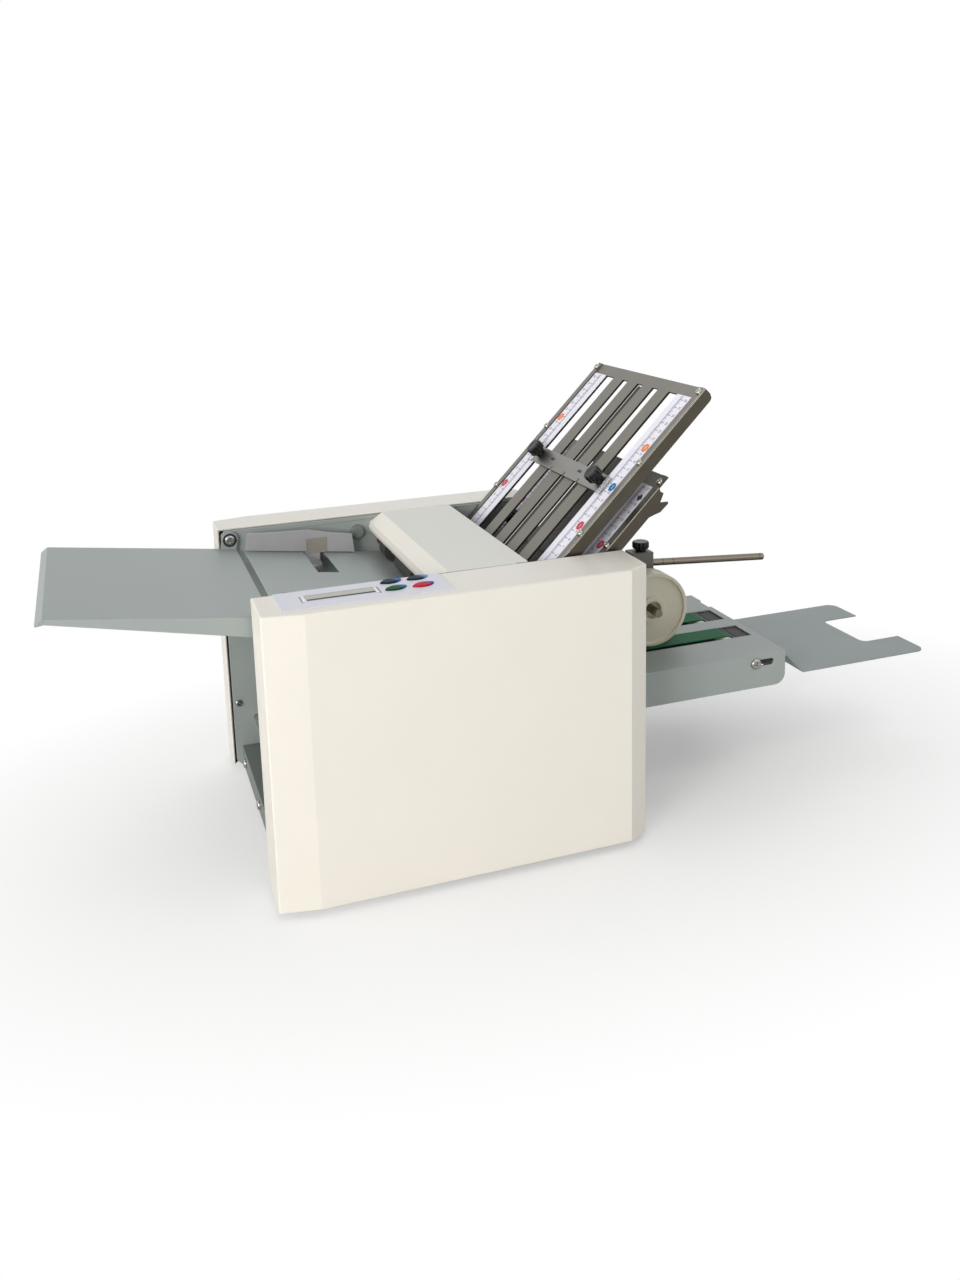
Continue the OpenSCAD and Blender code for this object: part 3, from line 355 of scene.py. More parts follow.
# Cast zinc of the wheel carriage: dull and dark
CAST_ZINC = Finish("cast_zinc", "#75726B", 0.5, grain=(0.9, 0.02), mottle=0.1)
# Painted highlight: a bright line along the outer bend of the plates, on each side
BEND_HIGHLIGHT = Finish("bend_painted_highlight", "#D8D2C4", 0.22, metallic=1.0, grain=(1.5, 0.004), mottle=0.15)
# Drawn and ground steel bar: near mirror, with turning marks round it
GROUND_BAR = Finish(
    "ground_steel_bar", "#B9B7B1", 0.24, metallic=1.0, grain=(20.0, 0.003),
    mottle=0.08, gloss_spread=0.06, stretch=Axis.WIDTH.value,
)
# Stainless bar that the press wheels hang on: darker, ground along its length
ROD_STEEL = Finish(
    "ground_stainless_rod", "#7F776D", 0.2, metallic=1.0, grain=(20.0, 0.003),
    mottle=0.08, gloss_spread=0.06, stretch=Axis.LENGTH.value,
)
# Zinc-plated hardware: bright, slightly cloudy
ZINC = Finish("zinc_plated_steel", "#A9A8A2", 0.25, metallic=1.0, grain=(0.6, 0.004), mottle=0.1)
# Sintered bronze: dull and porous
BRONZE = Finish("sintered_bronze", "#A37F4F", 0.48, metallic=1.0, grain=(0.4, 0.02), mottle=0.12)
# Spring wire: dark and oily
SPRING_STEEL = Finish("spring_wire", "#8D8C88", 0.3, metallic=1.0, grain=(0.5, 0.003), mottle=0.1)
# Cast polyurethane, ground round: dull, with a soft sheen
FEED_RUBBER = Finish(
    "moulded_feed_rubber", "#353331", 0.66, ior=1.52, grain=(0.6, 0.03), mottle=0.1
)
ROLLER_RUBBER = Finish(
    "ground_polyurethane", "#5A554D", 0.62, ior=1.5, grain=(0.5, 0.02), mottle=0.08
)
# Black moulded rubber of feet and drive belts
BLACK_RUBBER = Finish("moulded_rubber", "#1C1C1C", 0.7, ior=1.52, grain=(0.7, 0.03), mottle=0.15)
# Cork rubber of the pad that parts the sheets
CORK = Finish("cork_rubber", "#8A6239", 0.8, ior=1.45, grain=(1.6, 0.12), mottle=0.25)
# Polyurethane-faced conveyor belting: matte green with a fine weave
BELT_GREEN = Finish("green_belting", "#175B39", 0.62, grain=(0.8, 0.05), mottle=0.08, specular=0.2)
# Moulded ABS of the press wheels: cream and satin
WHEEL_ABS = Finish("moulded_abs_cream", "#DDD7C2", 0.36, ior=1.54, grain=(0.6, 0.01), mottle=0.03)
# Turned acetal: white and waxy
ACETAL = Finish("turned_acetal", "#ECEBE4", 0.32, ior=1.48, grain=(0.5, 0.006), mottle=0.02)
# Phenolic knobs: black with a hard gloss
KNOB_BLACK = Finish(
    "moulded_phenolic", "#0D0D0D", 0.28, grain=(0.5, 0.006), mottle=0.1, specular=0.35
)
# Black ABS of the mains inlet
SOCKET_BLACK = Finish("moulded_abs_black", "#191919", 0.45, ior=1.54, grain=(0.6, 0.02), mottle=0.1)
# Printed polycarbonate film of the control panel
PANEL_FILM = Finish(
    "polycarbonate_film", "#DDDDE8", 0.38, ior=1.58, grain=(0.5, 0.006), mottle=0.012
)
# Reflective display glass: silvery
DISPLAY_GLASS = Finish("display_glass", "#B4B4AC", 0.3, ior=1.52, grain=(9.0, 0.001), mottle=0.04)
# Painted shadow as the display's dark lower edge, and painted highlights as its white end bars
DISPLAY_EDGE_SHADOW = Finish("display_edge_painted_shadow", "#24241F", 0.6, grain=(0.5, 0.01), mottle=0.1)
DISPLAY_END_HIGHLIGHT = Finish("display_end_painted_highlight", "#F6F6F8", 0.4, grain=(0.5, 0.004), mottle=0.01)
# Solder mask over copper
BOARD_GREEN = Finish("solder_mask", "#17552F", 0.35, ior=1.55, grain=(2.4, 0.02), mottle=0.2)
# Rigid white scale with printed marks
SCALE_WHITE = Finish("printed_scale", "#EEEDF9", 0.46, ior=1.5, grain=(0.5, 0.004), mottle=0.012)
# Printing inks: matte and flat
INK_BLACK = Finish("scale_ink_black", "#26263A", 0.5, ior=1.5, mottle=0.1)
INK_WHITE = Finish("scale_ink_white", "#F1F1F1", 0.5, ior=1.5, mottle=0.02)
INK_RED = Finish("scale_ink_red", "#C2243F", 0.45, ior=1.5, mottle=0.05)
INK_BLUE = Finish("scale_ink_blue", "#1B6CA8", 0.45, ior=1.5, mottle=0.05)
INK_ORANGE = Finish("scale_ink_orange", "#EE7F36", 0.45, ior=1.5, mottle=0.05)
# Felt patch on the side guide
PATCH = Finish("felt_patch", "#948F86", 0.8, ior=1.45, grain=(0.5, 0.05), mottle=0.15)
# Motor can: dark chromate steel
MOTOR_CAN = Finish("chromated_can", "#55565A", 0.42, metallic=0.8, grain=(0.8, 0.01), mottle=0.08)
CLEAR = ClearSheet("cast_acrylic", "#F4F6F6", 0.08, ior=1.49, grain=(8.0, 0.001), mottle=0.01)
# Printed domes under a clear film: deep colour, little shine, with a painted blue reflection at
# each tip
KEYS = {
    f"button_{key}": TwoToneKey(
        f"key_{shade}", colour, 0.42, centre=centre, specular=0.06, tip=tip, mottle=0.08
    )
    for key, shade, colour, centre, tip in (
        ("up", "teal", "#12292F", (125.3, -124.2), "#3C78B0"),
        ("down", "green", "#0D4A2C", (124.8, -144.4), "#3A74AE"),
        ("start", "navy", "#1B2739", (150.5, -123.5), "#7FA6D6"),
        ("stop", "red", "#BF1D3A", (150.0, -145.0), "#4850A0"),
    )
}


# ---------------------------------------------------------------- mesh helpers


def angles(steps: int) -> list[float]:
    """Returns evenly spaced angles round a circle."""
    return [2 * math.pi * k / steps for k in range(steps)]


def round_point(radius: float, angle: float, height: float) -> Vector:
    """Returns a point on a circle about the third axis."""
    return Vector((radius * math.cos(angle), radius * math.sin(angle), height))


def standing(centre: Vector, axis: Vector) -> Matrix:
    """Returns the frame whose third axis points along the given one."""
    turn = axis.to_track_quat("Z", "Y").to_matrix().to_4x4()
    turn.translation = centre
    return turn


class Builder:
    """Collects solids in one mesh, in machine millimetres or in a local frame."""

    def __init__(self, frame: Matrix | None = None) -> None:
        """Starts an empty mesh in the given frame, or in machine millimetres."""
        self.bm = bmesh.new()
        self.frame = frame or machine_frame()
        self.material = 0

    def _close(self, faces: Iterable[bmesh.types.BMFace]) -> None:
        """Gives new faces the current material slot."""
        for face in faces:
            face.material_index = self.material

    def box(self, a: Sequence[float], b: Sequence[float]) -> None:
        """Adds a block between two corners."""
        corners = [(x, y, z) for x in (a[0], b[0]) for y in (a[1], b[1]) for z in (a[2], b[2])]
        v = [self.bm.verts.new(c) for c in corners]
        quads = (
            (0, 1, 3, 2), (4, 6, 7, 5), (0, 4, 5, 1), (2, 3, 7, 6), (0, 2, 6, 4), (1, 5, 7, 3)
        )
        self._close([self.bm.faces.new([v[i] for i in q]) for q in quads])

    def ring(self, turn: Matrix, radius: float, height: float, steps: int) -> list[Corner]:
        """Adds a ring of corners, or a single one where there is no radius."""
        if radius < 1e-9:
            return [self.bm.verts.new(turn @ Vector((0, 0, height)))]
        return [self.bm.verts.new(turn @ round_point(radius, a, height)) for a in angles(steps)]

    def bridge(self, rings: Sequence[Sequence[Corner]]) -> None:
        """Closes the wall between each ring and the next."""
        for low, high in zip(rings, rings[1:]):
            n = max(len(low), len(high))
            for k in range(n):
                j = (k + 1) % n
                corners = (
                    low[k % len(low)], low[j % len(low)], high[j % len(high)], high[k % len(high)]
                )
                unique = list(dict.fromkeys(corners))
                if len(unique) > 2:
                    self._close([self.bm.faces.new(unique)])

    def prism(
        self, outline: Sequence[Point2], lift: Callable[[Point2, float], Sequence[float]],
        h0: float, h1: float,
    ) -> None:
        """Adds a prism.

        Args:
            outline: Corners of the profile, counter-clockwise.
            lift: Places a profile point at a height.
            h0: Lower height.
            h1: Upper height.
        """
        low = [self.bm.verts.new(lift(p, h0)) for p in outline]
        high = [self.bm.verts.new(lift(p, h1)) for p in outline]
        self._close([self.bm.faces.new(list(reversed(low))), self.bm.faces.new(high)])
        self.bridge([low, high])

    def turned(
        self, profile: Sequence[Point2], centre: Vector, axis: Vector, steps: int = 48
    ) -> None:
        """Adds a turned solid.

        Args:
            profile: Radius and height pairs from the lower end to the upper end.
            centre: Where height 0 lies on the axis.
            axis: Direction of the axis.
            steps: Sides of the round.
        """
        turn = standing(centre, axis)
        self.bridge([self.ring(turn, r, h, steps) for r, h in profile])

    def screw(self, centre: Vector, axis: Vector, radius: float, height: float) -> None:
        """Adds a domed screw head with a cross recess.

        Args:
            centre: Middle of the head's foot.
            axis: Direction that the head looks in.
            radius: Radius of the head.
            height: Height of the head.
        """
        turn = standing(centre, axis)
        dome = ((1.0, 0.0), (1.0, 0.4), (0.93, 0.72), (0.78, 0.93), (0.62, 1.0))
        rings = [self.ring(turn, r * radius, h * height, ROUND_STEPS) for r, h in dome]
        long, wide = 0.5 * radius, 0.13 * radius
        arm = ((long, -wide), (long, wide), (wide, wide))
        quarters = ((1, 0), (0, 1), (-1, 0), (0, -1))
        flat = [
            Vector((x * c - y * s, x * s + y * c, height)) for c, s in quarters for x, y in arm
        ]
        top = [self.bm.verts.new(turn @ p) for p in flat]
        deep = [
            self.bm.verts.new(turn @ Vector((0.6 * p.x, 0.6 * p.y, 0.62 * height))) for p in flat
        ]
        self._close([self.bm.faces.new(list(reversed(rings[0]))), self.bm.faces.new(deep)])
        self.bridge(rings)
        self.bridge([top, deep])
        rim = [round_point(dome[-1][0] * radius, a, height) for a in angles(ROUND_STEPS)]
        corners = rings[-1] + top
        self._close(
            [self.bm.faces.new([corners[i] for i in t]) for t in tessellate_polygon([rim, flat])]
        )

    def finish(
        self, name: str, finishes: Sequence[Finish], body: str, slot: str, smooth: float = 35.0
    ) -> bpy.types.Object:
        """Makes the object.

        Args:
            name: Name of the piece.
            finishes: One finish for each material slot used.
            body: Body that the piece rides on.
            slot: Material slot of the record; not used.
            smooth: Angle in degrees below which edges shade smooth.

        Returns:
            The new object.
        """
        bmesh.ops.recalc_face_normals(self.bm, faces=self.bm.faces)
        mesh = bpy.data.meshes.new(name)
        self.bm.to_mesh(mesh)
        self.bm.free()
        mesh.transform(self.frame)
        obj = bpy.data.objects.new(name, mesh)
        bpy.context.scene.collection.objects.link(obj)
        for finish in finishes:
            mesh.materials.append(finish.build())
        mesh.shade_smooth()
        mesh.set_sharp_from_angle(angle=math.radians(smooth))
        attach(obj, body)
        return obj


def machine_frame() -> Matrix:
    """Returns the frame of machine millimetres."""
    return Matrix.Translation((-MID_X * MM, 0, 0)) @ Matrix.Scale(MM, 4)


def round_edges(obj: bpy.types.Object, width_mm: float, segments: int = 3) -> None:
    """Rounds an object's sharp edges by a small radius."""
    bevel = obj.modifiers.new("rounded_edges", "BEVEL")
    bevel.width = width_mm * MM
    bevel.segments = segments
    bevel.limit_method = "ANGLE"
    bevel.angle_limit = math.radians(32)
    bevel.use_clamp_overlap = False
    bevel.harden_normals = True


@dataclass
class Workshop:
    """Gives the CAD nodes their finishes and makes the rounded copies."""

    frame: dict[str, Any]
    slots: dict[str, str] = field(default_factory=dict)

    def __post_init__(self) -> None:
        """Reads which slot each node wears."""
        for row in self.frame["record"].get("subparts", []):
            self.slots[row["node"]] = row["material_slot"]

    def node(self, name: str) -> bpy.types.Object:
        """Returns a CAD node's object."""
        return self.frame["nodes"][name]

    def coat(self, finish: Finish, *names: str) -> None:
        """Puts one finish on whole CAD nodes."""
        for name in names:
            mesh = self.node(name).data
            mesh.materials.clear()
            mesh.materials.append(finish.build())
            LOG.info("%s wears %s", name, finish.name)

    def rounded(
        self,
        name: str,
        finish: Finish,
        width_mm: float,
        segments: int = 3,
        others: Sequence[tuple[Finish, Callable[[Vector], bool]]] = (),
    ) -> bpy.types.Object:
        """Stands a copy with rounded edges in for a CAD node.

        Args:
            name: The CAD node.
            finish: Its main finish.
            width_mm: Radius of the edges.
            segments: Facets across each round.
            others: Further finishes, each with a test of a face's centre in machine
                millimetres; a later one overrides an earlier one.

        Returns:
            The new object.
        """
        source = self.node(name)
        bm = bmesh.new()
        bm.from_mesh(source.data)
        bmesh.ops.remove_doubles(bm, verts=bm.verts, dist=2e-6)
        bmesh.ops.dissolve_limit(bm, angle_limit=math.radians(0.4), verts=bm.verts, edges=bm.edges)
        bm.normal_update()
        for face in bm.faces:
            centre = face.calc_center_median() / MM + Vector((MID_X, 0, 0))
            face.material_index = 0
            for i, (_, test) in enumerate(others):
                if test(centre):
                    face.material_index = i + 1
        mesh = bpy.data.meshes.new(f"{name}_finished")
        bm.to_mesh(mesh)
        bm.free()
        obj = bpy.data.objects.new(f"{name}_finished", mesh)
        bpy.context.scene.collection.objects.link(obj)
        mesh.materials.append(finish.build())
        for other, _ in others:
            mesh.materials.append(other.build())
        mesh.shade_smooth()
        mesh.set_sharp_from_angle(angle=math.radians(32))
        if width_mm:
            round_edges(obj, width_mm, segments)
        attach(obj, source["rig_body"])
        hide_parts(name)
        LOG.info("%s has rounded edges of %.1f mm", name, width_mm)
        return obj


# ---------------------------------------------------------------- sub-assemblies


@dataclass
class Covers:
    """The two painted side covers, the hood and the frame between them."""

    shop: Workshop

    def build(self) -> None:
        """Dresses the covers, the hood and the frame."""
        self.shop.rounded("near_cover", COVER_COAT, 1.4, 3)
        self.shop.rounded("far_cover", COVER_COAT, 1.4, 3)
        # The hood's top wears the greyer coat as painted shade; its nose keeps the cream coat
        self.shop.rounded("hood", HOOD_TOP_SHADE_COAT, 0.9, 3, [(COVER_COAT, self.is_nose)])
        self.shop.rounded("near_side_frame", FRAME_COAT, 0.5, 2)
        # The boss beside the hood wears the dark base coat as painted shade
        self.shop.rounded("far_side_frame", FRAME_COAT, 0.5, 2, [(BASE_COAT, self.is_boss)])
        self.shop.rounded("base_plate", BASE_COAT, 0.6, 2)
        self.bolts()
        self.shop.coat(BLACK_RUBBER, "rubber_feet")
        self.shop.coat(GROUND_BAR, "cross_rods")
        self.shop.coat(BRONZE, "roller_bushes")
        self.shop.rounded("power_inlet", SOCKET_BLACK, 0.4, 2)
        self.shop.rounded("power_switch", SOCKET_BLACK, 0.4, 2)

    @staticmethod
    def is_nose(p: Vector) -> bool:
        """Tells the hood's sloping front by its place."""
        return p.x < 183 and p.z > 255

    @staticmethod
    def is_boss(p: Vector) -> bool:
        """Tells the boss beside the hood by its place; it wears the dark base coat as painted
        shade.
        """
        return math.hypot(p.x - 154, p.z - 262) < 8.2 and p.y < 128.9

    def bolts(self) -> None:
        """Makes the screws with their cross recesses and the black washers of the tray's pivots."""
        screws = Builder()
        back, front = Vector((0, -1, 0)), Vector((0, 1, 0))
        for y in (-90, 8, 106):
            screws.screw(Vector((11, y, 18)), Vector((-1, 0, 0)), 5, 3)
        frame_screw = (10, 80)
        shanks = (
            (TRAY_PIVOT, 3.0, -116, -108.4), (TRAY_PIVOT, 3.0, 124.4, 132),
            (frame_screw, 2.5, 128.5, 132),
        )
        for (x, z), r, y0, y1 in shanks:
            screws.turned([(0, 0), (r, 0), (r, y1 - y0), (0, y1 - y0)], Vector((x, y0, z)), front)
        heads = (
            (TRAY_PIVOT, -108.45, front, 5.5, 2.45), (TRAY_PIVOT, 124.45, back, 5.5, 2.45),
            (frame_screw, 129, back, 4, 2.5), (FRONT_AXLE, -92, back, 6, 3),
            (FRONT_AXLE, 108, front, 6, 3),
        )
        for (x, z), y, look, r, h in heads:
            screws.screw(Vector((x, y, z)), look, r, h)
        screws.material = 1
        spacer = ((3, 0), (7, 0), (7, 2.4), (6.5, 2.95), (3, 2.95))
        washer = ((5.2, 0), (7.4, 0), (7.4, 0.5), (7.0, 0.8), (5.2, 0.8))
        for profile, near, far in ((spacer, -113, 129), (washer, -108.5, 124.5)):
            for y, look in ((near, front), (far, back)):
                screws.turned(profile, Vector((TRAY_PIVOT[0], y, TRAY_PIVOT[1])), look)
        made = screws.finish(
            "frame_screws", [ZINC, BLACK_RUBBER], "machine", self.shop.slots["frame_bolts"]
        )
        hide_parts("frame_bolts")
        LOG.info("frame screws are in")


@dataclass
class Feed:
    """The feed tray, lift plate, side guides and feed rollers."""

    shop: Workshop
    coil_turns: int = 7
    wire_mm: float = 1.2

    def build(self) -> None:
        """Dresses the feed side and winds the two springs."""
        self.shop.rounded("feed_tray", FRAME_COAT, 0.5, 2)
        self.shop.rounded("lift_plate", FRAME_COAT, 0.4, 2)
        self.shop.rounded("near_side_guide", GUIDE_ZINC, 0.4, 2)
        self.shop.rounded("far_side_guide", GUIDE_ZINC, 0.4, 2)
        self.shop.coat(GROUND_BAR, "feed_shaft")
        self.shop.coat(FEED_RUBBER, "feed_rollers")
        self.shop.coat(PLATE_STEEL, "infeed_guide", "lower_guide")
        self.shop.coat(CORK, "separator_pad")
        self.corners()
        self.patches()
        self.springs()

    def corners(self) -> None:
        """Closes the feed tray's corners between its lip and its sides: a guess for likeness."""
        pivot = Matrix.Translation(at(TRAY_PIVOT[0], 0, TRAY_PIVOT[1]))
        tilt = Matrix.Rotation(math.radians(7.5), 4, "Y")
        fold = Builder(pivot @ Matrix.Scale(MM, 4) @ tilt)
        outline = [(-183.0, -11.4), (-184.0, -11.4), (-189.6, -16.9), (-183.0, -15.1)]
        for y in (-110.0, 124.5):
            fold.prism(outline, lambda p, h: (p[0], h, p[1]), y, y + 1.5)
        made = fold.finish("tray_corners", [FRAME_COAT], "feed_tray", self.shop.slots["feed_tray"])
        round_edges(made, 0.3, 2)
        LOG.info("tray corners are closed")

    def patches(self) -> None:
        """Sticks a small patch on the inner face of each guide."""
        for side, y0, y1 in (("far", 113.6, 114.05), ("near", -98.05, -97.6)):
            patch = Builder()
            patch.box((93, y0, 247), (116, y1, 264))
            patch.finish(
                f"{side}_guide_patch", [PATCH], f"{side}_guide",
                self.shop.slots[f"{side}_side_guide"],
            )
        LOG.info("guide patches are on")

    def springs(self) -> None:
        """Winds the two lift springs as open coils."""
        winding = Builder()
        steps, sides = self.coil_turns * 20, 8
        radius, z0, z1 = 5.2, 205.6, 238.0
        for y in (-90, 106):
            rings = []
            for i in range(steps + 1):
                t = i / steps
                ends = min(1.0, max(0.0, (t - 0.08) / 0.84))
                a = 2 * math.pi * self.coil_turns * t
                mid = Vector((150, y, z0 + (z1 - z0) * ends)) + round_point(radius, a, 0)
                out = Vector((math.cos(a), math.sin(a), 0))
                ring = []
                for b in angles(sides):
                    p = self.wire_mm / 2 * (out * math.cos(b) + Vector((0, 0, 1)) * math.sin(b))
                    ring.append(winding.bm.verts.new(mid + p))
                rings.append(ring)
            winding.bridge(rings)
            winding.bm.faces.new(list(reversed(rings[0])))
            winding.bm.faces.new(rings[-1])
        coil = winding.finish(
            "lift_spring_coils", [SPRING_STEEL], "machine", self.shop.slots["lift_springs"], 60
        )
        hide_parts("lift_springs")
        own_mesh(coil)
        LOG.info("lift springs are wound")


@dataclass
class Drive:
    """The rollers, gears, motor and belts inside the covers."""

    shop: Workshop

    def build(self) -> None:
        """Dresses the roller train and the drive."""
        for i in range(1, 6):
            self.roller(f"fold_roller_{i}")
        self.shop.coat(ACETAL, "idler_gear")
        self.shop.coat(MOTOR_CAN, "motor")
        self.shop.coat(ZINC, "motor_pulley")
        self.shop.coat(BLACK_RUBBER, "drive_belts")

    def roller(self, name: str) -> None:
        """Gives a roller its rubber barrel and steel ends."""
        ends = (GROUND_BAR, lambda p: p.y < -109.6 or p.y > 125.6)
        self.shop.rounded(name, ROLLER_RUBBER, 0.0, 1, [ends])


@dataclass
class Scale:
    """A ruler strip with ticks, numbers and coloured marks."""

    body: str
    frame: Matrix
    u0: float
    u1: float
    nip: float = -65.6
    tick_y: float = 93.0
    number_y: float = 104.8
    mark_y: float = 103.6
    face: float = 0.6
    number_mm: float = 4.6
    mark_number_mm: float = 5.4
    mark_r: float = 5.6
    small_mark_r: float = 4.6

    def ticks(self, ink: Builder, side: int) -> None:
        """Draws the ticks, longest at every tenth millimetre."""
        first = math.ceil(self.u0 - self.nip) + 1
        last = math.floor(self.u1 - self.nip) - 1
        for n in range(first, last + 1):
            length = 7.4 if n % 10 == 0 else 5.0 if n % 5 == 0 else 3.4
            u = self.nip + n
            a = MID_Y + side * self.tick_y
            b = MID_Y + side * (self.tick_y + length)
            half = 0.26 if n % 10 == 0 else 0.15
            ink.box((u - half, min(a, b), self.face), (u + half, max(a, b), self.face + INK_MM))

    def word(self, text: str, u: float, y: float, size: float, lift: float) -> bmesh.types.BMesh:
        """Returns a number's mesh, read from the feed side.

        Args:
            text: The number.
            u: Place along the slope.
            y: Place across the machine.
            size: Height of the digits in millimetres.
            lift: Height above the plate.

        Returns:
            The mesh in plate millimetres.
        """
        curve = bpy.data.curves.new("number", "FONT")
        curve.body, curve.size, curve.extrude = text, size, 0.02
        curve.align_x, curve.align_y, curve.resolution_u = "CENTER", "CENTER", 2
        obj = bpy.data.objects.new("number", curve)
        bpy.context.scene.collection.objects.link(obj)
        bpy.context.view_layer.update()
        graph = bpy.context.evaluated_depsgraph_get()
        mesh = bpy.data.meshes.new_from_object(obj.evaluated_get(graph))
        out = bmesh.new()
        out.from_mesh(mesh)
        turn = Matrix(((0, 1, 0, u), (-1, 0, 0, y), (0, 0, 1, lift), (0, 0, 0, 1)))
        out.transform(turn)
        bpy.data.objects.remove(obj)
        bpy.data.curves.remove(curve)
        bpy.data.meshes.remove(mesh)
        return out

    def join(self, ink: Builder, part: bmesh.types.BMesh) -> None:
        """Adds a mesh to the ink."""
        spare = bpy.data.meshes.new("spare")
        part.to_mesh(spare)
        part.free()
        count = len(ink.bm.faces)
        ink.bm.from_mesh(spare)
        bpy.data.meshes.remove(spare)
        ink.bm.faces.ensure_lookup_table()
        for face in ink.bm.faces[count:]:
            face.material_index = ink.material

    def numbers(self, ink: Builder, side: int) -> None:
        """Writes a number at every tenth tick."""
        y = MID_Y + side * self.number_y
        first = math.ceil((self.u0 + 4 - self.nip) / 10)
        last = math.floor((self.u1 - 3 - self.nip) / 10)
        for n in range(first, last + 1):
            spot = self.nip + 10 * n
            self.join(ink, self.word(str(n), spot, y, self.number_mm, self.face + 0.04))

    def mark(
        self, ink: Builder, side: int, u: float, slot: int, text: str, corners: int = 6
    ) -> None:
        """Prints a coloured mark with a plain number.

        Args:
            ink: Where the mark goes.
            side: -1 for the near scale and 1 for the far one.
            u: Place along the slope.
            slot: Material slot of the mark.
            text: Number in the mark, or nothing.
            corners: Corners of the mark.
        """
        y = MID_Y + side * self.mark_y
        r = self.mark_r if corners == 6 else self.small_mark_r
        outline = []
        for k in range(corners):
            a = 2 * math.pi * (k + 0.5 * (corners == 6)) / corners
            outline.append((u + r * math.cos(a), y + r * math.sin(a)))
        keep, ink.material = ink.material, slot
        ink.prism(outline, lambda p, h: (p[0], p[1], h), self.face + INK_MM, self.face + 0.12)
        if text:
            ink.material = 1
            self.join(ink, self.word(text, u, y, self.mark_number_mm, self.face + 0.12))
        ink.material = keep

    def build(self, name: str, marks: Sequence[Mark], slot: str) -> None:
        """Prints both scales of a plate.

        Args:
            name: Name of the piece.
            marks: Place, material slot, number and corners of each mark.
            slot: Material slot of the record.
        """
        ink = Builder(self.frame)
        for side in (-1, 1):
            a, b = sorted((MID_Y + side * (self.tick_y - 0.45), MID_Y + side * (self.tick_y - 0.1)))
            ink.box((self.u0 + 1, a, self.face), (self.u1 - 1, b, self.face + INK_MM))
            self.ticks(ink, side)
            self.numbers(ink, side)
            for u, colour, text, corners in marks:
                self.mark(ink, side, u, colour, text, corners)
        ink.finish(name, [INK_BLACK, INK_WHITE, INK_RED, INK_BLUE, INK_ORANGE], self.body, slot)
        LOG.info("%s is printed", name)


